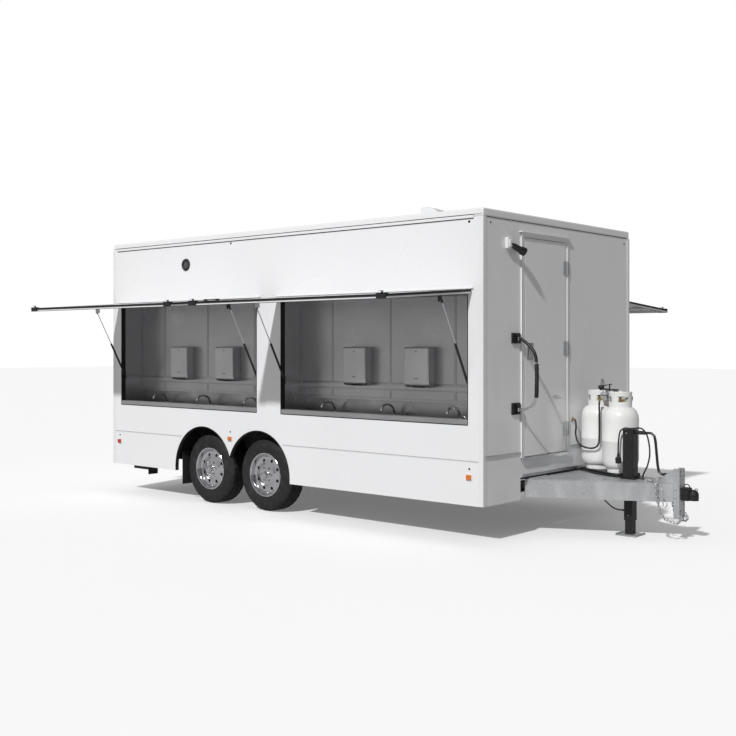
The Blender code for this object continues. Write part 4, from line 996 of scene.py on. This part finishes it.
    base = Shape().box(*from_wall((0.0003, -0.915, 2.372), (0.032, -0.842, 2.462)))
    base.box(*from_wall((0.03, -0.9, 2.385), (0.04, -0.858, 2.446)))
    base.piece("porch_lamp_base", TRIM_WHITE, 0.006, segments=3)
    head = Shape().lathe([(0, -0.07), (0.018, -0.068), (0.024, -0.05), (0.026, 0.01), (0.034, 0.03),
        (0.036, 0.062), (0.033, 0.064), (0.031, 0.05), (0, 0.05)], Matrix.Translation(from_wall((0.058,
        -0.8, 2.372))[0]) @ frame_along((0.35, 0.85, -0.4)), 32)
    head.rod(*from_wall((0.03, -0.875, 2.412), (0.056, -0.82, 2.385)), 0.01)
    head.piece("porch_lamp_head", BLACK)
    Shape().lathe([(0, 0.0575), (0.018, 0.056), (0.0308, 0.0508), (0, 0.0508)],
        Matrix.Translation(from_wall((0.058, -0.8, 2.372))[0]) @ frame_along((0.35, 0.85, -0.4)),
        32).piece("porch_lamp_glass", CLEAR)
    outlet = Shape().box(*from_wall((0, 0.65, 1.232), (0.006, 0.712, 1.278)))
    for n in range(3):
        outlet.box(*from_wall((0.005, 0.656, 1.24 + n * 0.012), (0.013, 0.706, 1.245 + n * 0.012)))
    outlet.piece("front_wall_vent", ZINC, 0.0008)


build_front()


# ---------------------------------------------------------------- gas cylinders
TANKS = {end: (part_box(f"propane_tank_{end}")[0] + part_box(f"propane_tank_{end}")[1]) / 2 for end in ENDS}
TANK_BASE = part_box("propane_tank_front")[0].z


def hose(name, points, radius, fitting=BRASS):
    """A rubber hose held at both ends, with a swaged ferrule at each."""
    route = smooth_route(points, 0.012)
    made = Shape().sweep(route, radius, 14).piece(name, HOSE)
    ferrules = Shape()
    for a, b in ((route[0], route[1]), (route[-1], route[-2])):
        heading = (b - a).normalized()
        ferrules.rod(a, a + heading * 0.02, radius * 1.45, radius * 1.25)
        ferrules.rod(a - heading * 0.004, a + heading * 0.008, radius * 1.7, sides=6)
    ferrules.piece(f"{name}_ferrules", fitting)
    return made


def build_tank(end):
    """An enamelled cylinder with weld bead, foot ring, windowed collar and valve."""
    place = Matrix.Translation((TANKS[end].x, TANKS[end].y, TANK_BASE))
    shell = Shape().lathe([(0, 0.034), (0.06, 0.022), (0.108, 0.03), (0.136, 0.05), (0.149, 0.078),
        (0.1548, 0.11), (0.155, 0.262), (0.156, 0.264), (0.1562, 0.268), (0.156, 0.272), (0.155, 0.274),
        (0.1548, 0.45), (0.151, 0.486), (0.14, 0.518), (0.118, 0.545), (0.088, 0.561), (0.05, 0.569),
        (0.024, 0.571), (0.022, 0.58), (0, 0.58)], place, 72)
    shell.lathe([(0.106, 0.0006), (0.112, 0.0006), (0.114, 0.038), (0.122, 0.044), (0.116, 0.048),
        (0.108, 0.042), (0.106, 0.0006)], place, 72)
    made = shell.piece(f"gas_cylinder_{end}", ENAMEL, smooth=0.6)
    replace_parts(made, f"propane_tank_{end}")
    collar = Shape().lathe([(0.0925, 0.546), (0.097, 0.546), (0.0975, 0.672), (0.1, 0.68),
        (0.0995, 0.687), (0.096, 0.69), (0.0925, 0.687), (0.0915, 0.68), (0.093, 0.672),
        (0.0925, 0.546)], place, 72)
    windows = Shape()
    for angle, low_z, high_z in ((-48, 0.602, 0.65), (-140, 0.602, 0.65), (78, 0.59, 0.72)):
        windows.box((0.05, -0.046, low_z), (0.14, 0.046, high_z), place @
            Matrix.Rotation(math.radians(angle), 4, "Z"))
    finish_piece(f"cylinder_collar_{end}", cut_mesh(collar, windows), ENAMEL, 0.0012, 2, 0.6)
    valve = Shape().lathe([(0, 0.64), (0.01, 0.64), (0.012, 0.63), (0.016, 0.62), (0.016, 0.6),
        (0.02, 0.596), (0.02, 0.572), (0, 0.572)], place, 20)
    centre = place.translation
    valve.rod(centre + Vector((0, 0, 0.61)), centre + Vector((0.012, 0.048, 0.612)), 0.0105, sides=6)
    valve.piece(f"cylinder_valve_{end}", BRASS, 0.0006)
    wheel = Shape().lathe([(0, 0.664), (0.02, 0.663), (0.028, 0.658), (0.03, 0.65), (0.026, 0.642),
        (0.012, 0.64), (0, 0.64)], place, 12)
    wheel.piece(f"cylinder_handwheel_{end}", BLACK_PLASTIC, smooth=0.2)


for end_name in ENDS:
    build_tank(end_name)


GAS_ROUTE = [(0.006, 0.15, 0.93), (0.03, 0.15, 0.925), (0.048, 0.135, 0.87), (0.05, 0.125, 0.8),
    (0.085, 0.115, 0.725), (0.15, 0.112, 0.695), (0.22, 0.12, 0.69), (0.268, 0.128, 0.72),
    (0.28, 0.128, 0.8), (0.28, 0.128, 0.95), (0.28, 0.128, 1.08), (0.284, 0.134, 1.118)]


def build_gas():
    """Regulator on the hold-down bar, its lever, both pigtails and the supply hose."""
    middle = (TANKS["front"] + TANKS["rear"]) / 2
    body = Shape().lathe([(0, 0), (0.03, 0.002), (0.04, 0.008), (0.04, 0.016), (0.032, 0.022),
        (0.018, 0.03), (0.014, 0.044), (0, 0.046)], Matrix.Translation((middle.x - 0.03,
        middle.y - 0.03, 1.15)), 28)
    body.box((middle.x - 0.052, middle.y - 0.05, 1.118), (middle.x - 0.008, middle.y - 0.01, 1.152))
    body.piece("gas_regulator", ZINC, 0.0012)
    rear = Vector((TANKS["rear"].x, TANKS["rear"].y, TANK_BASE + 0.596))
    knob = Shape().lathe([(0, 1.234), (0.016, 1.233), (0.026, 1.224), (0.028, 1.212), (0.022, 1.2),
        (0.01, 1.19), (0.01, 1.165), (0, 1.165)], Matrix.Translation((rear.x + 0.012, rear.y + 0.012,
        0)), 10)
    knob.rod((rear.x + 0.016, rear.y + 0.016, 1.226), (rear.x + 0.082, rear.y + 0.074, 1.24), 0.0042,
        0.0032)
    knob.ball((rear.x + 0.082, rear.y + 0.074, 1.24), 0.0055)
    knob.piece("changeover_lever", BLACK_PLASTIC)
    front = Vector((TANKS["front"].x, TANKS["front"].y, TANK_BASE + 0.596))
    hose("pigtail_front", [front + Vector((0.012, 0.05, 0.016)), front + Vector((0.012, 0.11, 0.034)),
        front + Vector((0.006, 0.185, 0.052)), front + Vector((-0.012, 0.238, 0.014)),
        front + Vector((-0.04, 0.23, -0.04)), front + Vector((-0.085, 0.168, -0.052)),
        front + Vector((-0.13, 0.085, -0.012))], 0.0052)
    hose("pigtail_rear", [rear + Vector((0.012, 0.05, 0.016)), rear + Vector((0.03, 0.1, 0.036)),
        rear + Vector((0.075, 0.118, 0.04)), rear + Vector((0.118, 0.07, 0.006)),
        rear + Vector((0.13, 0.0, -0.004)), rear + Vector((0.13, -0.075, 0.0))], 0.0052)
    supply = hose("gas_supply_hose", from_wall(*GAS_ROUTE), 0.0078)
    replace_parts(supply, "gas_hose")
    flange = Shape().rod(*from_wall((0.0003, 0.15, 0.93), (0.006, 0.15, 0.93)), 0.024)
    flange.piece("gas_inlet_flange", ZINC, 0.001)


build_gas()


# ---------------------------------------------------------------- tongue
def build_tongue():
    """Tread bars, gussets, harness, jack and coupler details."""
    deck_length = CHANNEL_LOW.x - FRONT_X
    wide, narrow = 0.556, 0.046
    tread = Shape()
    for row in range(34):
        x = 0.018 + row * 0.03
        half = wide - (wide - narrow) * x / deck_length - 0.012
        count = int(half / 0.03)
        for n in range(-count, count + 1):
            turn = Matrix.Rotation(math.radians(45 if (row + n) % 2 else -45), 4, "Z")
            place = Matrix.Translation((FRONT_X + x, n * 0.03, DECK_TOP)) @ turn
            tread.box((-0.0095, -0.002, -0.0004), (0.0095, 0.002, 0.0013), place)
    tread.piece("tread_bars", ALUMINIUM, slot="galvanised")
    steel = Shape()
    for side in SIDES.values():
        steel.prism([(-0.15, 0.4712), (-0.001, 0.4712), (-0.001, 0.575), (-0.02, 0.575)],
            Matrix(((1, 0, 0, CHANNEL_LOW.x), (0, 0, 1, side * 0.04), (0, 1, 0, 0), (0, 0, 0, 1))),
            0.006)
        for z in (0.365, 0.425):
            steel.rod((CHANNEL_LOW.x + 0.02, side * 0.0535, z), (CHANNEL_LOW.x + 0.02, side * 0.062, z),
                0.011, sides=6)
    steel.piece("tongue_gussets_and_bolts", ZINC, 0.0008)
    holes = Shape()
    for y in (-0.034, 0.034):
        for z in (0.566, 0.53, 0.25, 0.214):
            holes.rod((CHANNEL_HIGH.x - 0.001, y, z), (CHANNEL_HIGH.x + 0.0004, y, z), 0.0072)
    holes.piece("channel_bolt_holes", SEAL_AND_SHADE_BLACK, slot="black_plastic")
    low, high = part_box("coupler_head")
    bolts = Shape()
    for side in SIDES.values():
        for x in (low.x + 0.022, low.x + 0.052):
            bolts.rod((x, side * 0.0385, 0.385), (x, side * 0.0475, 0.385), 0.01, sides=6)
        bolts.box((low.x + 0.002, side * 0.03, 0.428), (low.x + 0.066, side * 0.0405, 0.4375))
    bolts.ring(Matrix.Translation((high.x - 0.02, 0, 0.425)) @ Matrix.Rotation(math.pi / 2, 4, "X"),
        0.011, 0.0034)
    bolts.piece("coupler_bolts_and_ring", BLACK, 0.0006)

    jack = Shape()
    jack.box((JACK_LOW.x + 0.0155, -0.049, JACK_HIGH.z - 0.003), (JACK_LOW.x + 0.1135, 0.049,
        JACK_HIGH.z + 0.0035))
    for x in (JACK_X - 0.054, JACK_X + 0.054):
        for y in (-0.05, 0.05):
            jack.rod((x, y, DECK_TOP + 0.008), (x, y, DECK_TOP + 0.018), 0.0075, sides=6)
    jack.piece("jack_cap_and_bolts", BLACK, 0.001)
    rivets = Shape()
    for x, y, z in ((JACK_X - 0.012, -0.047, 0.852), (JACK_X, -0.038, 0.168)):
        rivets.rod((x, y, z), (x, y - 0.006, z), 0.0062, 0.004)
    rivets.piece("jack_rivets", ZINC)
    axle_z, grip_z = JACK_HIGH.z - 0.02, JACK_HIGH.z - 0.352
    handle = Shape().rod((JACK_X + 0.075, 0, axle_z), (JACK_X + 0.135, 0, axle_z), 0.015)
    for n in range(5):
        handle.ring(Matrix.Translation((JACK_X + 0.081 + n * 0.012, 0, axle_z)) @ frame_along((1, 0,
            0)), 0.015, 0.0024)
    handle.rod((JACK_X + 0.3, 0, grip_z), (JACK_X + 0.378, 0, grip_z), 0.015, 0.0165)
    handle.piece("crank_grips", BLACK_PLASTIC, 0.001, body="crank")
    foot = Shape().box((JACK_X - 0.0905, -0.0905, 0.0004), (JACK_X + 0.0905, 0.0905, 0.011))
    for way in (-1, 1):
        foot.box((JACK_X + way * 0.083, -0.0905, 0.01), (JACK_X + way * 0.0905, 0.0905, 0.019))
    foot.piece("jack_foot_cover", ZINC, 0.0015, body="jack_inner_leg")

    hose("deck_harness", from_wall((0.006, 0.235, 0.486), (0.045, 0.232, 0.4815), (0.11, 0.195, 0.4795),
        (0.19, 0.135, 0.4795), (0.28, 0.08, 0.4795), (0.38, 0.038, 0.4795), (0.47, 0.006, 0.4795),
        (0.53, -0.002, 0.48)), 0.0065, BLACK_PLASTIC)
    hose("frame_lead", from_wall((0.352, -0.05, 0.466), (0.356, -0.05, 0.42), (0.372, -0.05, 0.36),
        (0.402, -0.05, 0.305), (0.46, -0.05, 0.252), (0.505, -0.048, 0.222), (0.55, -0.04, 0.208),
        (0.5995, -0.03, 0.206)), 0.0055, BLACK_PLASTIC)


def build_chain(side_name):
    """A zinc safety chain from the rail's top over its side to the channel's foot, with a hook."""
    side = SIDES[side_name]
    points = from_wall((0.845, side * 0.105, 0.4785), (0.89, side * 0.098, 0.485),
        (0.925, side * 0.12, 0.49), (0.938, side * 0.138, 0.45), (0.942, side * 0.138, 0.38),
        (0.955, side * 0.132, 0.3), (0.972, side * 0.125, 0.23), (1.0, side * 0.11, 0.19),
        (1.045, side * 0.095, 0.168), (1.09, side * 0.075, 0.158), (1.11, side * 0.062, 0.19),
        (1.09, side * 0.06, 0.23))
    route = smooth_route(points, 0.004)
    chain = Shape()
    travelled, count = 0.0, 0
    for a, b in zip(route, route[1:]):
        travelled += (b - a).length
        if travelled < 0.0265 * count:
            continue
        heading = (b - a).normalized()
        sideways = heading.orthogonal().normalized()
        turn = Matrix.Rotation(math.radians(35 + 90 * (count % 2)), 3, heading)
        sideways = turn @ sideways
        flat = heading.cross(sideways)
        place = Matrix.Translation(a) @ Matrix((heading, sideways, flat)).transposed().to_4x4()
        chain.ring(place, 0.0098, 0.0041, 16, 8, 0.0088)
        count += 1
    hook_route = from_wall((0.985, side * 0.118, 0.345), (0.99, side * 0.118, 0.3),
        (1.006, side * 0.118, 0.284), (1.022, side * 0.118, 0.296), (1.02, side * 0.118, 0.318))
    chain.sweep(smooth_route(hook_route, 0.006), 0.0048, 12)
    chain.ring(Matrix.Translation(hook_route[0] + Vector((0, 0, 0.012))) @ Matrix.Rotation(math.pi / 2,
        4, "X"), 0.011, 0.0034)
    chain.sweep(smooth_route(from_wall((0.985, side * 0.118, 0.366), (0.978, side * 0.112, 0.4),
        (0.97, side * 0.104, 0.43)), 0.006), 0.003, 10)
    chain.piece(f"safety_chain_{side_name}", ZINC, smooth=0.9)


build_tongue()
for side_name in SIDES:
    build_chain(side_name)


# ---------------------------------------------------------------- rear wall and roof
def build_rear_and_roof():
    """Lamps, service panel and louvre behind; seams and the vent's mesh on top."""
    def behind(out, y, z):
        return Vector((REAR_X - out, y, z))

    turned_back = frame_along((-1, 0, 0))
    trim = Shape()
    for low, high in (((0, -0.42, 0.82), (0.008, 0.42, 0.838)), ((0, -0.42, 1.342),
            (0.008, 0.42, 1.36)), ((0, -0.42, 0.838), (0.008, -0.402, 1.342)),
            ((0, 0.402, 0.838), (0.008, 0.42, 1.342)), ((0, -0.395, 0.845), (0.005, 0.395, 1.335)),
            ((0, -0.16, 1.64), (0.01, 0.16, 1.9))):
        trim.box(behind(*low), behind(*high))
    trim.box(behind(0, -1.176, 2.598), behind(0.006, 1.176, 2.609))
    trim.piece("rear_panel_and_trim", TRIM_WHITE, 0.0015)
    grille = Shape()
    for n in range(9):
        z = 1.664 + n * 0.026
        grille.box(behind(0.009, -0.14, z), behind(0.016, 0.14, z + 0.012))
    for z in (0.93, 1.25):
        grille.box(behind(0.004, 0.385, z - 0.03), behind(0.01, 0.425, z + 0.03))
    grille.piece("rear_louvre_and_hinges", CASE_STEEL, 0.0012)
    dark = Shape()
    for n in range(8):
        dark.box(behind(0.0095, -0.138, 1.677 + n * 0.026), behind(0.0108, 0.138, 1.688 + n * 0.026))
    dark.box(behind(0.004, -0.375, 1.06), behind(0.014, -0.335, 1.12))
    # Painted shade of the skirt seam's groove across the rear wall.
    dark.box(behind(0, -1.178, 0.6588), behind(0.0012, 1.178, 0.6612))
    dark.box(behind(0, -1.12, 0.318), behind(0.012, 1.12, 0.352))
    dark.piece("rear_gaps_painted_seam_shade_latch_and_bumper", BLACK, 0.0008)
    lamps = Shape()
    rims = Shape()
    for y, z, radius in ((-1.06, 0.56, 0.052), (1.06, 0.56, 0.052), (-0.15, 2.56, 0.018),
            (0, 2.56, 0.018), (0.15, 2.56, 0.018), (-1.13, 2.56, 0.018), (1.13, 2.56, 0.018)):
        place = Matrix.Translation(behind(0, y, z)) @ turned_back
        lamps.lathe([(0, 0.016), (radius * 0.6, 0.0145), (radius, 0.009), (radius, 0.002), (0, 0.002)],
            place, 32)
        rims.lathe([(radius, 0.0002), (radius + 0.009, 0.0002), (radius + 0.008, 0.006),
            (radius + 0.002, 0.008), (radius + 0.0003, 0.006), (radius, 0.0002)], place, 32)
    lamps.piece("rear_lamps", RED)
    rims.piece("rear_lamp_grommets", SEAL_AND_SHADE_BLACK)
    plate = Shape().box(behind(0.002, -0.79, 0.48), behind(0.006, -0.47, 0.64))
    plate.box(behind(0.006, -0.66, 0.64), behind(0.024, -0.6, 0.662))
    plate.piece("plate_holder_and_lamp", BLACK_PLASTIC, 0.0015)

    seams = Shape()
    for n in range(1, 4):
        x = REAR_X + (FRONT_X - REAR_X) * n / 4
        seams.box((x - 0.03, -SIDE_Y + 0.03, ROOF_TOP - 0.001), (x + 0.03, SIDE_Y - 0.03, ROOF_TOP + 0.002))
    for y in (-SIDE_Y + 0.045, SIDE_Y - 0.045):
        for n in range(40):
            x = REAR_X + 0.06 + n * (FRONT_X - REAR_X - 0.12) / 39
            seams.rod((x, y, ROOF_TOP - 0.0005), (x, y, ROOF_TOP + 0.003), 0.006, 0.004, 10)
    seams.piece("roof_seams_and_screws", TRIM_WHITE, 0.0006)
    low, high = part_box("roof_vent")
    base = Shape().box((low.x - 0.025, low.y - 0.025, ROOF_TOP + 0.0002),
        (high.x + 0.025, high.y + 0.025, ROOF_TOP + 0.006))
    base.piece("roof_vent_flange", TRIM_WHITE, 0.0018)
    mesh = Shape()
    for n in range(7):
        x = low.x + 0.03 + n * 0.036
        mesh.box((x, low.y - 0.003, ROOF_TOP + 0.016), (x + 0.02, low.y + 0.0004, ROOF_TOP + 0.03))
    mesh.piece("roof_vent_slots", SEAL_AND_SHADE_BLACK, 0.0006, slot="black_plastic")
    Shape().box((high.x - 0.045, low.y - 0.022, ROOF_TOP + 0.0062), (high.x - 0.015, low.y - 0.004,
        ROOF_TOP + 0.016)).piece("roof_vent_clip", RED, 0.002)


build_rear_and_roof()

# ---------------------------------------------------------------- floor and light
FLOOR_SIZE, FLOOR_SEEN, FLOOR_BOUNCE, FLOOR_GLOW = 60.0, 0.93, 0.34, 0.16
SUN_STRENGTH, SUN_SPREAD = 2.7, math.radians(2.5)
SUN_HEADING = (-0.25, 1.03, -0.87)
SKY_DIMMING = (("From Min", -0.3), ("From Max", 0.8), ("To Min", 0.4), ("To Max", 0.12))

floor_mesh = bpy.data.meshes.new("studio_floor")
floor_bm = bmesh.new()
bmesh.ops.create_grid(floor_bm, x_segments=1, y_segments=1, size=FLOOR_SIZE)
floor_bm.to_mesh(floor_mesh)
floor_bm.free()
studio_floor = bpy.data.objects.new("studio_floor", floor_mesh)
bpy.context.scene.collection.objects.link(studio_floor)
floor_finish = Finish("studio_floor", (FLOOR_SEEN,) * 3, 0.9, specular=0.1)
bounce = floor_finish.tree.nodes.new("ShaderNodeMix")
bounce.data_type = "RGBA"
bounce.inputs["A"].default_value = (FLOOR_BOUNCE, FLOOR_BOUNCE, FLOOR_BOUNCE, 1.0)
bounce.inputs["B"].default_value = (FLOOR_SEEN, FLOOR_SEEN, FLOOR_SEEN, 1.0)
floor_finish.tree.links.new(floor_finish.tree.nodes.new("ShaderNodeLightPath").outputs["Is Camera Ray"],
    bounce.inputs["Factor"])
floor_finish.tree.links.new(bounce.outputs["Result"], floor_finish.shader.inputs["Base Color"])
floor_finish.shader.inputs["Emission Color"].default_value = (1.0, 1.0, 1.0, 1.0)
floor_finish.shader.inputs["Emission Strength"].default_value = FLOOR_GLOW
floor_mesh.materials.append(floor_finish.material)

world = bpy.data.worlds.new("studio")
bpy.context.scene.world = world
bpy.context.scene.view_settings.view_transform = "Standard"
world.use_nodes = True
sky = world.node_tree
background = sky.nodes["Background"]
background.inputs["Color"].default_value = (1.0, 1.0, 1.0, 1.0)
facing = sky.nodes.new("ShaderNodeSeparateXYZ")
sky.links.new(sky.nodes.new("ShaderNodeTexCoord").outputs["Generated"], facing.inputs["Vector"])
dim_ahead = sky.nodes.new("ShaderNodeMapRange")
for name, value in SKY_DIMMING:
    dim_ahead.inputs[name].default_value = value
sky.links.new(facing.outputs["X"], dim_ahead.inputs["Value"])
seen = sky.nodes.new("ShaderNodeMix")
seen.inputs["B"].default_value = 1.0
sky.links.new(sky.nodes.new("ShaderNodeLightPath").outputs["Is Camera Ray"], seen.inputs["Factor"])
sky.links.new(dim_ahead.outputs["Result"], seen.inputs["A"])
sky.links.new(seen.outputs["Result"], background.inputs["Strength"])
sun_data = bpy.data.lights.new("key", "SUN")
sun_data.energy = SUN_STRENGTH
sun_data.angle = SUN_SPREAD
sun = bpy.data.objects.new("key", sun_data)
sun.rotation_euler = Vector(SUN_HEADING).to_track_quat("-Z", "Y").to_euler()
bpy.context.scene.collection.objects.link(sun)
